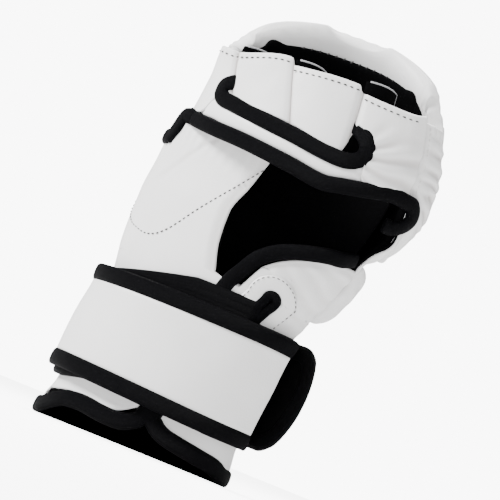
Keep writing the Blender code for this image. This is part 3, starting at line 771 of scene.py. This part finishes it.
def swell(piece, pressure, limit, frames=20):
    # cloth pressure fills the pad out; no point may move farther than the limit
    start = vertexArray(piece)
    cloth = piece.modifiers.new("cloth", "CLOTH")
    cloth.settings.use_pressure = True
    cloth.settings.uniform_pressure_force = pressure
    cloth.settings.effector_weights.gravity = 0
    cloth.point_cache.frame_start = 1
    cloth.point_cache.frame_end = frames
    for frameNumber in range(1, frames + 1):
        bpy.context.scene.frame_set(frameNumber)
    mesh = meshOf(piece)
    moved = np.zeros(len(mesh.vertices) * 3, np.float32)
    mesh.vertices.foreach_get("co", moved)
    piece.modifiers.remove(cloth)
    bpy.data.meshes.remove(mesh)
    bpy.context.scene.frame_set(1)
    shift = moved.reshape(-1, 3) - start
    far = np.linalg.norm(shift, axis=1, keepdims=True)
    print("cloth moved the pad by", round(float(far.mean() / mm), 2), "mm on average")
    shift *= np.minimum(1, limit * mm / np.maximum(far, 1e-9))
    piece.data.vertices.foreach_set("co", (start + shift).astype(np.float32).reshape(-1))
    piece.data.update()


def restOn(piece, points, lift):
    # the points moved to the nearest place on the piece's surface, a little above it
    made = []
    for point in points:
        found, spot, up, _ = piece.closest_point_on_mesh(Vector(point) * mm)
        made.append((spot + up * lift * mm) / mm if found else Vector(point))
    return np.array([tuple(q) for q in made])


def padDip(angle):
    return 14.0 * np.maximum(0.0, 1 - angle / 62) ** 0.5


def makeBackPad():
    u, v = gridUV(80, 36)
    a = mix(3, 172.0, u)
    z = mix(97.2, 147.0 - padDip(a), v)
    across = np.clip(6.0 * np.minimum(u, 1 - u), 0.03, 1)
    along = np.clip(3.4 * np.minimum(v, 1 - v), 0.03, 1)
    crown = (np.sin(np.pi / 2 * across) * np.sin(np.pi / 2 * along)) ** 0.62
    lift = backPad["height"] * crown
    piece = skin("backPad", handForm, a, z, lift, -4.2, leather, rim=0.8)
    bake(piece, "REMESH", mode="VOXEL", voxel_size=backPad["voxel"])
    swell(piece, backPad["pressure"], backPad["swell"])
    bake(piece, "SUBSURF", levels=2, render_levels=2)
    # seams and small wrinkles, pressed in after the pad has filled out
    points, normals = vertexArray(piece) / mm, vertexArray(piece, "normals")
    left, right, _, back, middle = (curveAt(wristSections, points[:, 2], c) for c in range(1, 6))
    east = (points[:, 0] + centreX - (left + right) / 2) / ((right - left) / 2)
    north = (points[:, 1] + centreY - middle) / (back - middle)
    outside = ease(np.hypot(east, north), 0.98, 1.10)
    angle = np.degrees(np.arctan2(north, east))
    share = (angle - 3) / 169.0
    below = 147.0 - padDip(np.maximum(angle, 0)) - points[:, 2]
    inside = ease(points[:, 2], 98.0, 103.5) * ease(below, 0.5, 6.5)
    seam = sum(np.exp(-(((share - s) / backPad["seamWidth"]) ** 2)) for s in backPad["seams"])
    seam = seam * outside * inside
    wrinkles = noiseField(points * np.array([1, 1, 1.5]), 10, 8) + 0.5 * noiseField(points, 4.5, 9)
    press = backPad["wrinkle"] * wrinkles * outside - backPad["seamDepth"] * seam
    points += normals * press[:, None]
    piece.data.vertices.foreach_set("co", (points * mm).astype(np.float32).reshape(-1))
    piece.data.update()
    piece.data.shade_smooth()
    # painted shade in the pressed seams
    setPaintedShade(piece, 0.4 * seam)
    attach(piece, "cuff")
    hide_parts("back_pad_shell", "back_pad_foam")
    rows = []
    for s in backPad["seams"]:
        for side in (-0.022, 0.022):
            angles = np.full(60, mix(3, 172.0, s + side))
            heights = mix(97.2, 147.0 - padDip(angles), np.linspace(0.14, 0.86, 60))
            row, _ = onForm(handForm, angles, heights, backPad["height"])
            rows.append(restOn(piece, row, 0.1))
    stitches("backPadStitches", rows, "cuff", paleThread, spacing=3.2, length=2.3)
    useMaterial("hand_back_lining", lining)


def makeGusset():
    # leather and lining that bridge the bend between the back pad and the guard
    u, v = gridUV(90, 26)
    a = mix(mix(-3.0, -20.0, ease(v, 0.0, 0.85)), 173.0, u)
    low = 146.0 - padDip(np.maximum(a, 0)) - 9.0 + 3.5 * (1 - ease(a, 0, 6))
    high = curveAt(guardEdges, np.maximum(a, -16)) + 7.0
    z = mix(low, high, v)
    hand = handForm(a, z)
    inside = fingerForm(a, z)
    side = 1 - ease(a, 0, 14)
    base = mix(hand, inside, mix(ease(v, 0.3, 0.9) * 0.5, ease(z, 131, 151), side)[..., None])
    n = gridNormals(base)
    pleat = 0.8 * np.sin(v * math.pi * 5) * ease(v, 0.15, 0.35) * ease(1 - v, 0.15, 0.35)
    lift = mix(-3.2, mix(0.2, -3.0, ease(v, 0.4, 0.9)), side) + pleat + 0.5 * noiseField(base, 10, 12)
    piece = gridSolid("backGusset", base + n * lift[..., None], base + n * (lift - 1.2)[..., None], gathered)
    # painted shade in the troughs of the pleats
    setPaintedShade(piece, 0.3 * np.maximum(0, -pleat))
    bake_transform(piece)
    lower = base + n * (lift - 1.6)[..., None]
    cover = gridSolid("backGussetLining", lower, lower - n * 1.2, lining)
    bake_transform(cover)


guardPad = dict(over=25.0, sides=12.0, rim=8.0, pleats=1.3, fill=0.75, trim=1.4)


def padDepth(angle, share):
    back = np.maximum(0.0, np.sin(np.radians(angle)))
    full = mix(guardPad["sides"], guardPad["over"], back**1.2)
    low = np.minimum(1.0, 0.55 + share * 1.6)
    top = np.where(share < 0.6, 1.0, np.cos(np.pi / 2 * np.clip((share - 0.6) / 0.4, 0, 1)))
    return mix(guardPad["rim"], full * low, top)


def makeGuard():
    nu, nv = 150, 80
    u, v = gridUV(nu, nv)
    a = mix(-30.3, 187.0, u)
    base = guardForm(a, v)
    n = gridNormals(base)
    depth = padDepth(a, v)
    ends = ease(u, 0, 0.035) * ease(1 - u, 0, 0.035)
    feet = ease(v, 0, 0.10)
    lift = -2.2 * (1 - feet) - 1.6 * (1 - ends)
    # soft wrinkles all over, pleats gathered on the little-finger side and under the rim
    wide = noiseField(base * np.array([1, 1, 1.6]), 24, 21)
    fine = noiseField(base * np.array([0.6, 0.6, 1.5]), 9, 22)
    ulnar = np.exp(-((a + 7) / 15.0) ** 2) * ease(v, 0.1, 0.3) * ease(0.97 - v, 0, 0.2)
    pleats = np.sin(base[..., 2] * 0.85 + a * 0.09 + 4.5 * wide + 1.5 * fine) * (0.55 + 0.9 * np.abs(fine))
    rimPleats = np.sin(a * 0.8 + 4 * wide) * np.exp(-((v - 0.985) / 0.05) ** 2)
    lift = lift + (0.7 * wide + 0.35 * fine) * ends * feet
    lift += guardPad["pleats"] * ulnar * pleats * ends + 0.35 * rimPleats * ends
    outer = base + n * lift[..., None]
    inner = base - n * (depth - 0.2)[..., None]
    # the rim and the feet are rounded by closing the outer and inner faces with arcs
    steps = 7
    rows = [outer]
    top = []
    upEdge = outer[-1] - outer[-2]
    upEdge /= np.linalg.norm(upEdge, axis=1, keepdims=True)
    span = inner[-1] - outer[-1]
    for k in range(1, steps):
        turn = math.pi * k / steps
        bulge = upEdge * math.sin(turn) * guardPad["rim"] * 0.18
        top.append(outer[-1] + span * (1 - math.cos(turn)) / 2 + bulge)
    rows.append(np.array(top))
    rows.append(inner[::-1])
    bottom = []
    downEdge = outer[0] - outer[1]
    downEdge /= np.linalg.norm(downEdge, axis=1, keepdims=True)
    span = outer[0] - inner[0]
    for k in range(1, steps):
        turn = math.pi * k / steps
        bottom.append(inner[0] + span * (1 - math.cos(turn)) / 2 + downEdge * math.sin(turn) * 2.0)
    rows.append(np.array(bottom))
    ring = np.concatenate(rows)
    count, row = len(ring), nu + 1
    faces = []
    for j in range(count):
        for i in range(nu):
            b = ((j + 1) % count) * row
            faces.append((j * row + i, j * row + i + 1, b + i + 1, b + i))
    faces.append(tuple(j * row for j in range(count)))
    faces.append(tuple(j * row + nu for j in reversed(range(count))))
    piece = newObject("guardPad", ring.reshape(-1, 3), faces, gathered)
    # painted shade in the pleat troughs on the little-finger side and under the rim
    paintedPleatShade = np.zeros(ring.shape[:2])
    paintedPleatShade[:nv + 1] = 0.85 * ulnar * np.maximum(0, -pleats) + 0.25 * np.maximum(0, -rimPleats)
    setPaintedShade(piece, paintedPleatShade)
    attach(piece, "guard")
    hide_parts("guard_shell", "guard_foam_outer", "guard_foam_inner")
    # black lining over the inner face, up to the white leather of the rim
    lu, lv = gridUV(150, 70)
    la = mix(-29.0, 185.8, lu)
    share = mix(0.0, 0.955, lv)
    core = guardForm(la, share)
    ln = gridNormals(core)
    ld = padDepth(la, share)
    wave = 0.35 * noiseField(core, 14, 30)
    near = core - ln * (ld + 0.1)[..., None]
    far = core - ln * (ld + guardPad["trim"] + wave)[..., None]
    cover = gridSolid("guardLining", near, far, lining, 0.3)
    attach(cover, "guard")
    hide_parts("guard_lining")
    # whip stitches over the lining's edge
    k = np.linspace(0.41, 0.70, 260)
    sa = mix(-29.0, 185.8, k)
    path, _ = onForm(guardForm, sa, np.full_like(sa, 0.955), -(padDepth(sa, 0.955) + 0.7))
    stitches("rimStitches", [path], "guard", thread, spacing=4.4, length=2.6, thick=0.55, tilt=0.9)
    # side seam between the guard's cover and the palm side
    seam, _ = onForm(guardForm, np.full(60, -24.5), np.linspace(0.08, 0.95, 60), -0.1)
    stitches("sideSeamStitches", [seam], "guard", paleThread, spacing=2.6, length=2.0, thick=0.25)


loops = dict(
    leather=1.6, bulge=2.0, flare=2.2, wrinkle=0.35, hem=1.9, turned=0.28,
    crests={"index": 217.5, "middle": 219.0, "ring": 221.0},
)


def sideFolds(base):
    # folds in the leather, spreading from the slot's end to the little-finger side
    turn = np.degrees(np.arctan2(base[..., 2] - 180, base[..., 0] + centreX - 44))
    return np.sin(turn * 0.30 + 1.2 * noiseField(base, 14, 51))


def loopLift(a, z, u):
    flare = loops["flare"] * ease(z, 196, 216) * np.exp(-((a - 195) / 22.0) ** 2)
    return loops["bulge"] * np.sin(np.pi * u) ** 0.7 + flare


def littleLift(u):
    # the little finger's loop runs on into the side, so it doesn't come back down
    return loops["bulge"] * np.sin(np.pi * np.minimum(u, 0.5)) ** 0.7 * (1 - 0.6 * ease(u, 0.7, 1))


def makeLoops():
    # upper and lower ends of each loop's two sides, as places across the palm
    sides = {
        "index": (None, None, -30.4, -24.6), "middle": (-30.0, -24.0, 0.9, 12.7),
        "ring": (1.3, 13.1, 41.2, 44.2), "little": (41.0, 43.8, None, None),
    }
    ends = {}
    for name, x in sides.items():
        first = [187.2 if x[0] is None else float(fingerAngle(x[k], z)) for k, z in ((0, 214.0), (1, 188.0))]
        last = [330.5 if x[2] is None else float(fingerAngle(x[k], z)) for k, z in ((2, 214.0), (3, 188.0))]
        ends[name] = (first, last)
    for name, (first, last) in ends.items():
        little = name == "little"
        u, v = gridUV(46, 40)
        upper, lower = mix(first[0], last[0], u), mix(first[1], last[1], u)
        high = curveAt(loopTops, fingerForm(upper, 213.0)[..., 0] + centreX)
        low = curveAt(loopFeet, fingerForm(lower, 188.0)[..., 0] + centreX)
        z = mix(low, high, v)
        a = mix(lower, upper, v)
        lift = loopLift(a, z, u)
        if little:
            lift = -1.2 * ease(0.08 - u, 0, 0.08) + littleLift(u)
        base = fingerForm(a, z)
        lift = lift + loops["wrinkle"] * noiseField(base, 12, 40 + len(name)) * ease(v, 0, 0.2)
        folds = sideFolds(base) * ease(base[..., 0] + centreX, 50, 60) * ease(z, 208, 190) * little
        lift = lift + 0.7 * folds
        inner = lift - loops["leather"]
        # the two side edges turn inwards and run back along the dividers
        turn = 3.0 * (ease(0.10 - u, 0, 0.10) + (0 if little else ease(u - 0.90, 0, 0.10)))
        turn = turn * loops["turned"]
        piece = skin("fingerLoop" + name.capitalize(), fingerForm, a, z, lift - turn, inner - turn, leather)
        # painted shade along the side edges that turn in between the loops, and in the troughs of the side folds
        shade = 0.7 * ease(0.045 - u, 0, 0.045) + 0.7 * ease(u - 0.955, 0, 0.045) * (not little)
        setPaintedShade(piece, shade + 0.55 * np.maximum(0, -folds))
        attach(piece, "guard")
        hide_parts("finger_loop_" + name)
        # inner black lining of the loop
        z = mix(low + 1.0, high - 0.5, v)
        near, far = inner - 0.35 - turn, inner - 1.3 - turn
        cover = skin("loopLining" + name.capitalize(), fingerForm, a, z, near, far, lining)
        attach(cover, "guard")
        # hem stitches
        k = np.linspace(0.07, 0.80 if little else 0.93, 80)
        sa = mix(first[0], last[0], k)
        sx = fingerForm(sa, 213.0)[..., 0] + centreX
        sz = curveAt(loopTops, sx) - loops["hem"] - 0.8
        up = littleLift(k) if little else loopLift(sa, sz, k)
        path, _ = onForm(fingerForm, sa, sz, up + 0.12)
        stitches("loopStitches" + name.capitalize(), [path], "guard", spacing=3.3, length=2.1, thick=0.4)
    names = list(ends)
    for left, right in zip(names, names[1:]):
        angle = (ends[left][1][0] + ends[right][0][0]) / 2
        u, v = gridUV(24, 24)
        # a cloth wall with a pale cut edge, curving back behind the next loop and standing above it
        crest = loops["crests"][left]
        z = mix(192.0, crest + 1.2 * np.sin(u * 3.0), v)
        core = fingerForm(angle, z)
        out, sideways = np.array([0.0, -1.0, 0.0]), np.array([1.0, 0.0, 0.0])
        core = core - out * (2.8 + 12.0 * u**1.6 + 1.5 * u)[..., None]
        core = core + sideways * (14.0 * np.sin(u * 1.5))[..., None]
        n = gridNormals(core)
        wall = gridSolid("divider" + left.capitalize(), core + n * 0.45, core - n * 0.45, lining, 0.2)
        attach(wall, "guard")
        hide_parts("finger_divider_" + left + "_" + right)
        top = np.concatenate([core[-1, 2:] + np.array([0, 0, 0.2]), core[-2:8:-1, -1]])
        ups = np.tile(-out, (len(top), 1))
        edge = tape("dividerEdge" + left.capitalize(), top, ups, 1.1, 1.1, paleEdge, sides=8)
        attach(edge, "guard")


bar = dict(puff=1.3, leather=3.2, binding=8.4, thick=4.6, slotWidth=8.6, slotThick=4.2)


def makePalmBar():
    u, v = gridUV(150, 26)
    x = mix(-42.5, 80.5, u)
    low, high = curveAt(barEdge, x, 1), curveAt(barEdge, x, 2)
    high = np.where(x > 56, mix(high, 184.0, ease(x, 56, 60)), high)
    z = mix(low, high, v)
    a = fingerAngle(x, z)
    base = fingerForm(a, z)
    right = ease(x, 48, 66)
    lift = bar["puff"] * np.sin(np.pi * np.clip(v, 0.02, 0.98)) ** 0.6 * mix(1.0, 0.5, right) - 0.2
    rays = sideFolds(base)
    lift += 0.75 * right * rays + 0.35 * noiseField(base, 9, 50)
    piece = skin("palmBar", fingerForm, a, z, lift, lift - bar["leather"], gathered, rim=0.8)
    # painted shade in the troughs of the folds at the bar's right end
    setPaintedShade(piece, 0.5 * right * np.maximum(0, -rays))
    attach(piece, "guard")
    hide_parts("palm_bar_cover", "palm_bar_core", "ulnar_side_panel")
    # lower binding: from the back of the thumb side, under the index loop, along the bar and round its end
    side = [(float(k), float(curveAt(guardEdges, k)) - 2.0) for k in (140, 150, 160)]
    side += [(170.0, 173.4), (178.0, 175.2), (186.0, 176.0), (194.0, 175.2), (203.0, 174.0), (211.0, 172.8)]
    under = [(q, float(curveAt(barEdge, q, 1) - 4.2)) for q in (-24, -8, 8, 23, 40, 50, 60, 72)]
    front = [(float(fingerAngle(q, height)), height) for q, height in under]
    end = [(334.5, 171.2), (339.5, 168.0), (341.5, 163.0), (340.5, 158.5), (337.0, 155.5), (332.0, 155.0)]
    line = smoothPath(side + front + end, 320)
    t = np.linspace(0, 1, 320)
    depth = 0.6 - 5.0 * ease(t, 0.93, 1.0) - 5.0 * (1 - ease(t, 0.0, 0.09))
    points, ups = onForm(fingerForm, line[:, 0], line[:, 1], depth)
    edge = tape("palmBarBinding", points, ups, bar["binding"], bar["thick"], binding)
    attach(edge, "guard")
    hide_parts("palm_bar_binding")
    # binding of the slot above the bar
    line = smoothPath([
        (-21, 200), (-26.5, 197.6), (-30.3, 194), (-30.6, 190.2), (-27.6, 187.2), (-21, 185.9),
        (-10, 184.1), (5, 182.1), (20, 180.3), (34, 178.4), (43, 177.8), (49.5, 178.9),
        (53.8, 182.3), (54.6, 187), (52.2, 191.8), (48, 195.4), (43, 198.5),
    ], 240)
    t = np.linspace(0, 1, 240)
    depth = 0.6 - 4.2 * (1 - ease(t, 0.0, 0.09)) - 4.2 * ease(t, 0.91, 1.0)
    points, ups = onForm(fingerForm, fingerAngle(line[:, 0], line[:, 1]), line[:, 1], depth)
    edge = tape("slotBinding", points, ups, bar["slotWidth"], bar["slotThick"], binding)
    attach(edge, "guard")
    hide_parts("slot_binding")
    # black cloth seen through the slot
    u, v = gridUV(60, 8)
    x = mix(-30.0, 53.0, u)
    z = mix(curveAt(barEdge, x, 2) + 1.0, np.maximum(curveAt(loopFeet, x), 190) + 4.0, v)
    back = skin("slotLining", fingerForm, fingerAngle(x, z), z, -3.6, -4.6, lining)
    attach(back, "guard")


cuffEdge = dict(width=9.2, thick=5.0, slitWidth=5.4, slitThick=4.2, arcWidth=8.4, arcThick=4.4)


def makeCuffBindings():
    # thumb-side lobe, round the back and the little-finger lobe: one tape along the wrist mouth
    left, right = lobeLine(-1), lobeLine(1)
    start = [(float(handAngle(x, z)), float(z)) for x, z in left[::3]]
    backLine = [(214, 8.4), (205, 5.6), (190, 4.9)]
    backLine += [(angle, 4.8) for angle in (170, 140, 110, 80, 50, 20)]
    backLine += [(0, 4.9), (-12, 5.4), (-24, 8.0)]
    stop = [(float(handAngle(x, z)) - 360, float(z)) for x, z in right[::-3]]
    line = smoothPath(start + backLine + stop, 460)
    points, ups = onForm(handForm, line[:, 0], line[:, 1], -0.4)
    edge = tape("cuffBinding", points, ups, cuffEdge["width"], cuffEdge["thick"], binding)
    for vertex in edge.data.vertices:
        vertex.co.z = max(vertex.co.z, 0.0)
    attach(edge, "cuff")
    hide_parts("cuff_rim_binding", "thumb_lobe_binding", "heel_lobe_binding")
    # wrist slit: up one side, round the top, down the other
    leg = 2.5
    way = [(slitX(z) - leg, z) for z in np.linspace(29, slitArch, 12)]
    for b in np.linspace(0.35, math.pi - 0.35, 7):
        way.append((slitX(slitArch) - leg * math.cos(b), slitArch + leg * math.sin(b)))
    way += [(slitX(z) + leg, z) for z in np.linspace(slitArch, 29, 12)]
    line = smoothPath(way, 200)
    points, ups = onForm(handForm, handAngle(line[:, 0], line[:, 1]), line[:, 1], 1.3)
    edge = tape("slitBinding", points, ups, cuffEdge["slitWidth"], cuffEdge["slitThick"], binding)
    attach(edge, "cuff")
    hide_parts("wrist_slit_binding")
    # lower edge of the palm opening
    line = smoothPath([
        (9.5, 94), (11.5, 100), (15.5, 107), (21, 116), (29, 122.5),
        (38.5, 126.6), (52, 130.6), (60, 132), (65.5, 134),
    ], 140)
    sink = 0.2 - 2.2 * ease(line[:, 0], 56, 66)
    points, ups = onForm(handForm, handAngle(line[:, 0], line[:, 1]), line[:, 1], sink)
    edge = tape("palmArcBinding", points, ups, cuffEdge["arcWidth"], cuffEdge["arcThick"], binding)
    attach(edge, "cuff")
    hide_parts("palm_arc_binding")
    # black cloth behind the slit and behind the palm opening's left edge
    u, v = gridUV(14, 60)
    z = mix(24.0, slitTop[1] + 2, v)
    a = handAngle(slitX(z) + mix(-8.5, 8.5, u), z)
    back = skin("slitTongue", handForm, a, z, -3.4, -4.6, lining)
    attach(back, "cuff")


strap = dict(
    clear=0.9, thick=2.2, outer=5.55, binding=9.4, bindThick=4.4, reach=34.0,
    fanWidth=7.6, fanThick=3.2, footWidth=8.6,
)


def strapTurn(a):
    # the angle counted on from the strap's free end, so that the front is in one piece
    return np.mod(np.asarray(a, float) - tipCorner, 360.0) + tipCorner


def strapFoot(a):
    # lower edge of the strap's white face, a little lower towards the little-finger side
    turn = strapTurn(a)
    return 35.0 - 4.2 * ease(turn, 200, 330) - 1.4 * ease(turn, 190, 60)


def strapHead(a):
    return np.full_like(np.asarray(a, float), strapHigh - 8.6)


def innerFan(a):
    # the inner wrap rises beside the wrist slit, where it shows above the outer one
    turn = strapTurn(a)
    slope = np.clip(1 - np.cos(np.radians(np.clip(turn, 180, 270) - 180)), 0, 1)
    return 11.5 * slope * (1 - ease(turn, 306, 312))


def innerDrop(a):
    turn = strapTurn(a)
    return 3.6 * ease(turn, 170, 192) * (1 - ease(turn, 206, 240))


def strapBand(name, start, stop, low, count):
    u, v = gridUV(count, 24)
    a = mix(start, stop, u)
    z = mix(strapFoot(a), strapHead(a), v)
    base = handForm(a, z)
    waves = 0.35 * noiseField(base * np.array([0.5, 0.5, 1]), 17, 60)
    lift = low + strap["thick"] + waves + 0.25 * np.sin(np.pi * v)
    return skin(name, handForm, a, z, lift, low, leather, rim=0.3)


def strapLining(name, start, stop, count):
    # thin black cloth on the inner face of the outer strap
    u, v = gridUV(count, 10)
    a = mix(start, stop, u)
    z = mix(strapFoot(a) + 0.4, strapHead(a) - 0.4, v)
    low = strap["outer"]
    return skin(name, handForm, a, z, low + 0.4, low - 0.12, lining, rim=0.0)


def strapTapes(name, start, stop, low, count, nodes):
    made = []
    a = np.linspace(start, stop, count)
    foot = strapFoot(a) - 4.4
    head = strapHead(a) + 4.3
    for side, z, node in (("Low", foot, nodes[0]), ("Top", head, nodes[1])):
        points, ups = onForm(handForm, a, z, low + strap["thick"] / 2)
        edge = tape(name + side, points, ups, strap["binding"], strap["bindThick"], binding)
        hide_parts(node)
        made.append(edge)
    return made


def cornerLine(angle, span):
    # start and end points of a bend of the strap, in metres
    ends = onForm(handForm, np.array([angle + span, angle - span]), np.array([55.0, 55.0]), strap["outer"])[0]
    return tuple(ends[0] * mm), tuple(ends[1] * mm)


def makeStrap():
    inner = strapBand("strapInner", -46, 276, strap["clear"], 240)
    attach(inner, "cuff")
    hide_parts("strap_inner_band")
    nodes = ("strap_inner_binding_low", "strap_inner_binding_top")
    for edge in strapTapes("strapInnerBinding", -46, 276, strap["clear"], 240, nodes):
        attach(edge, "cuff")
    # the inner wrap's wide black edge, fanning out above the outer strap up to the slit
    for k, share in enumerate((0.35, 0.68, 1.0)):
        a = np.linspace(186, 311, 160)
        z = strapHead(a) + 4.0 + innerFan(a) * share
        lift = 1.7 + 0.9 * (1 - share)
        points, ups = onForm(handForm, a, z, lift)
        edge = tape("strapFan" + str(k + 1), points, ups, strap["fanWidth"], strap["fanThick"], binding)
        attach(edge, "cuff")
    a = np.linspace(166, 244, 100)
    points, ups = onForm(handForm, a, strapFoot(a) - 4.4 - innerDrop(a), 2.4)
    edge = tape("strapInnerFoot", points, ups, strap["footWidth"], strap["bindThick"], binding)
    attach(edge, "cuff")
    middle = (frontCorner + backCorner) / 2
    near = cornerLine(frontCorner, 9.0)
    palmBand = strapBand("strapPalm", middle + 0.3, 349, strap["outer"], 170)
    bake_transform(palmBand)
    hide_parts("strap_palm_band")
    nodes = ("strap_palm_binding_low", "strap_palm_binding_top")
    for edge in strapTapes("strapPalmBinding", middle + 0.3, 349, strap["outer"], 170, nodes):
        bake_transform(edge)
    cover = strapLining("strapPalmLining", middle + 0.3, 349, 120)
    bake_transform(cover)
    far = cornerLine(backCorner, 8.0)
    cover = strapLining("strapBackLining", tipCorner + 0.8, middle, 100)
    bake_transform(cover)
    backBand = strapBand("strapBack", tipCorner + 0.8, middle, strap["outer"], 130)
    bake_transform(backBand)
    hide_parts("strap_back_band", "strap_side_band")
    nodes = ("strap_back_binding_low", "strap_back_binding_top")
    for k, edge in enumerate(strapTapes("strapBackBinding", tipCorner + 0.8, middle, strap["outer"], 130, nodes)):
        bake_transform(edge)
        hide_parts(("strap_side_binding_low", "strap_side_binding_top")[k])
    useMaterial("loop_fastener", hookLoop)
    useMaterial("hook_fastener", hookLoop)
    makeTip()


def tipPoint(s, z, lift):
    base, up = onForm(handForm, np.full_like(z, tipCorner), z, 0.0)
    along = -np.cross(np.array([0, 0, 1.0]), up)
    along[..., 2] = 0
    along /= np.linalg.norm(along, axis=-1, keepdims=True)
    bend = 0.9 * (s / strap["reach"]) ** 2
    return base + along * s[..., None] + up * (np.asarray(lift) + bend)[..., None], up


def makeTip():
    middle, half = (strapLow + strapHigh) / 2, (strapHigh - strapLow) / 2

    def reach(w, margin):
        return strap["reach"] - margin - 14.0 * (1 - np.sqrt(np.maximum(0.0, 1 - np.abs(w) ** 2 * 0.98)))

    u, v = gridUV(24, 40)
    w = 2 * v - 1
    z = middle + w * (half - 7.0)
    s = mix(0.6, reach(w, 7.0), u)

    def face(lift):
        return tipPoint(s.reshape(-1), z.reshape(-1), np.full(s.size, lift))[0].reshape(*z.shape, 3)

    low = strap["outer"]
    band = gridSolid("strapTip", face(low + strap["thick"]), face(low + 1.0), leather, 0.3)
    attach(band, "strap_tip")
    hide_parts("strap_tip_band")
    under = gridSolid("strapTipLining", face(low + 0.9), face(low - 0.2), lining, 0.3)
    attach(under, "strap_tip")
    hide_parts("strap_tip_lining")
    side = [(q, -1.0) for q in np.linspace(0.6, reach(0.98, 8.0), 8)]
    bend = [(reach(k, 8.0) + 4.0, k) for k in np.linspace(-0.86, 0.86, 15)]
    line = smoothPath(side + bend + [(q, 1.0) for q in np.linspace(reach(0.98, 8.0), 0.6, 8)], 160)
    lifts = np.full(len(line), low + strap["thick"] / 2)
    points, ups = tipPoint(line[:, 0], middle + line[:, 1] * (half - 4.1), lifts)
    edge = tape("strapTipBinding", points, ups, strap["binding"], strap["bindThick"], binding)
    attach(edge, "strap_tip")
    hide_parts("strap_tip_binding")


def makeInside():
    u, v = gridUV(80, 50)
    a = mix(8, 168, u)
    z = mix(99.0, 172.0, v)
    base = handForm(a, z)
    lift = -7.2 - 1.5 * ease(z, 140, 172) * np.sin(np.radians(a)) + 0.4 * noiseField(base, 18, 70)
    piece = skin("palmInside", handForm, a, z, lift, lift - 1.0, lining)
    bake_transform(piece)


makePalm()
makeThumbMouth()
print("palm and thumb made")
makeHeel()
makeCuffBack()
makeBackPad()
makeGusset()
print("back of the hand made")
makeGuard()
makeLoops()
makePalmBar()
print("guard, loops and bar made")
makeCuffBindings()
makeStrap()
makeInside()
print("strap and bindings made")


backdrop = dict(floor=(0.93, 0.93, 0.93), floorGlow=6.0, light=0.55, seen=9.0)
lights = dict(
    key=dict(place=(-1.2, -0.8, 1.2), size=0.6, power=88),
    fill=dict(place=(1.3, -1.0, 0.5), size=1.2, power=12),
    top=dict(place=(0.1, 0.5, 1.6), size=1.0, power=34),
)
view = dict(azimuth=14.0, height=0.014, distance=1.6, roll=22.0, aimX=-1.95, aimZ=120.75, span=0.2625)


def makeStage():
    material, nodes, links, shader = finish("paleFloor", backdrop["floor"], 0.8, 0.1)
    speckle = makeNode(nodes, "ShaderNodeTexNoise")
    speckle.inputs["Scale"].default_value = 4
    coords = makeNode(nodes, "ShaderNodeTexCoord")
    links.new(coords.outputs["Object"], speckle.inputs["Vector"])
    tone = ramp(nodes, links, speckle.outputs[0], [(0.3, (0.92, 0.92, 0.92)), (0.7, (0.94, 0.94, 0.94))])
    links.new(tone, shader.inputs["Base Color"])
    # the camera alone sees the floor as bright as the backdrop; it throws no extra light on the glove
    rays = makeNode(nodes, "ShaderNodeLightPath")
    glow = makeNode(nodes, "ShaderNodeMath", operation="MULTIPLY")
    glow.inputs[1].default_value = backdrop["floorGlow"]
    links.new(rays.outputs["Is Camera Ray"], glow.inputs[0])
    shader.inputs["Emission Color"].default_value = (1, 1, 1, 1)
    links.new(glow.outputs[0], shader.inputs["Emission Strength"])
    mesh = bpy.data.meshes.new("floor")
    corners = [(x, y, -0.0001) for x, y in ((-6, -6), (6, -6), (6, 6), (-6, 6))]
    mesh.from_pydata(corners, [], [(0, 1, 2, 3)])
    mesh.materials.append(material)
    floor = bpy.data.objects.new("floor", mesh)
    bpy.context.scene.collection.objects.link(floor)
    world = bpy.data.worlds.new("studio")
    world.use_nodes = True
    nodes, links = world.node_tree.nodes, world.node_tree.links
    nodes["Background"].inputs["Color"].default_value = (1, 1, 1, 1)
    rays = makeNode(nodes, "ShaderNodeLightPath")
    amount = makeNode(nodes, "ShaderNodeMapRange")
    amount.inputs["To Min"].default_value = backdrop["light"]
    amount.inputs["To Max"].default_value = backdrop["seen"]
    links.new(rays.outputs["Is Camera Ray"], amount.inputs["Value"])
    links.new(amount.outputs[0], nodes["Background"].inputs["Strength"])
    bpy.context.scene.world = world


def softLight(name, place, size, power, target=(0, 0, 0.12)):
    data = bpy.data.lights.new(name, "AREA")
    data.size = size
    data.energy = power
    lamp = bpy.data.objects.new(name, data)
    bpy.context.scene.collection.objects.link(lamp)
    lamp.location = place
    lamp.rotation_euler = (Vector(target) - Vector(place)).to_track_quat("-Z", "Y").to_euler()


def makeCamera():
    turn, lean = math.radians(view["azimuth"]), math.radians(view["roll"])
    right = Vector((math.cos(turn), math.sin(turn), 0))
    aim = right * view["aimX"] * mm + Vector((0, 0, view["aimZ"] * mm))
    spot = aim + Vector((math.sin(turn), -math.cos(turn), 0)) * view["distance"]
    spot.z = view["height"]
    look = (aim - spot).normalized()
    upright = right.cross(look).normalized()
    data = bpy.data.cameras.new("camera")
    data.sensor_width = 36
    data.lens = 36 * (aim - spot).length / view["span"]
    camera = bpy.data.objects.new("camera", data)
    bpy.context.scene.collection.objects.link(camera)
    screenRight = right * math.cos(lean) + upright * math.sin(lean)
    screenUp = -right * math.sin(lean) + upright * math.cos(lean)
    matrix = camera.matrix_world.copy()
    for row in range(3):
        matrix[row] = (screenRight[row], screenUp[row], -look[row], spot[row])
    camera.matrix_world = matrix
    bpy.context.scene.camera = camera


makeStage()
for name, settings in lights.items():
    softLight(name, **settings)
makeCamera()
print("stage made")
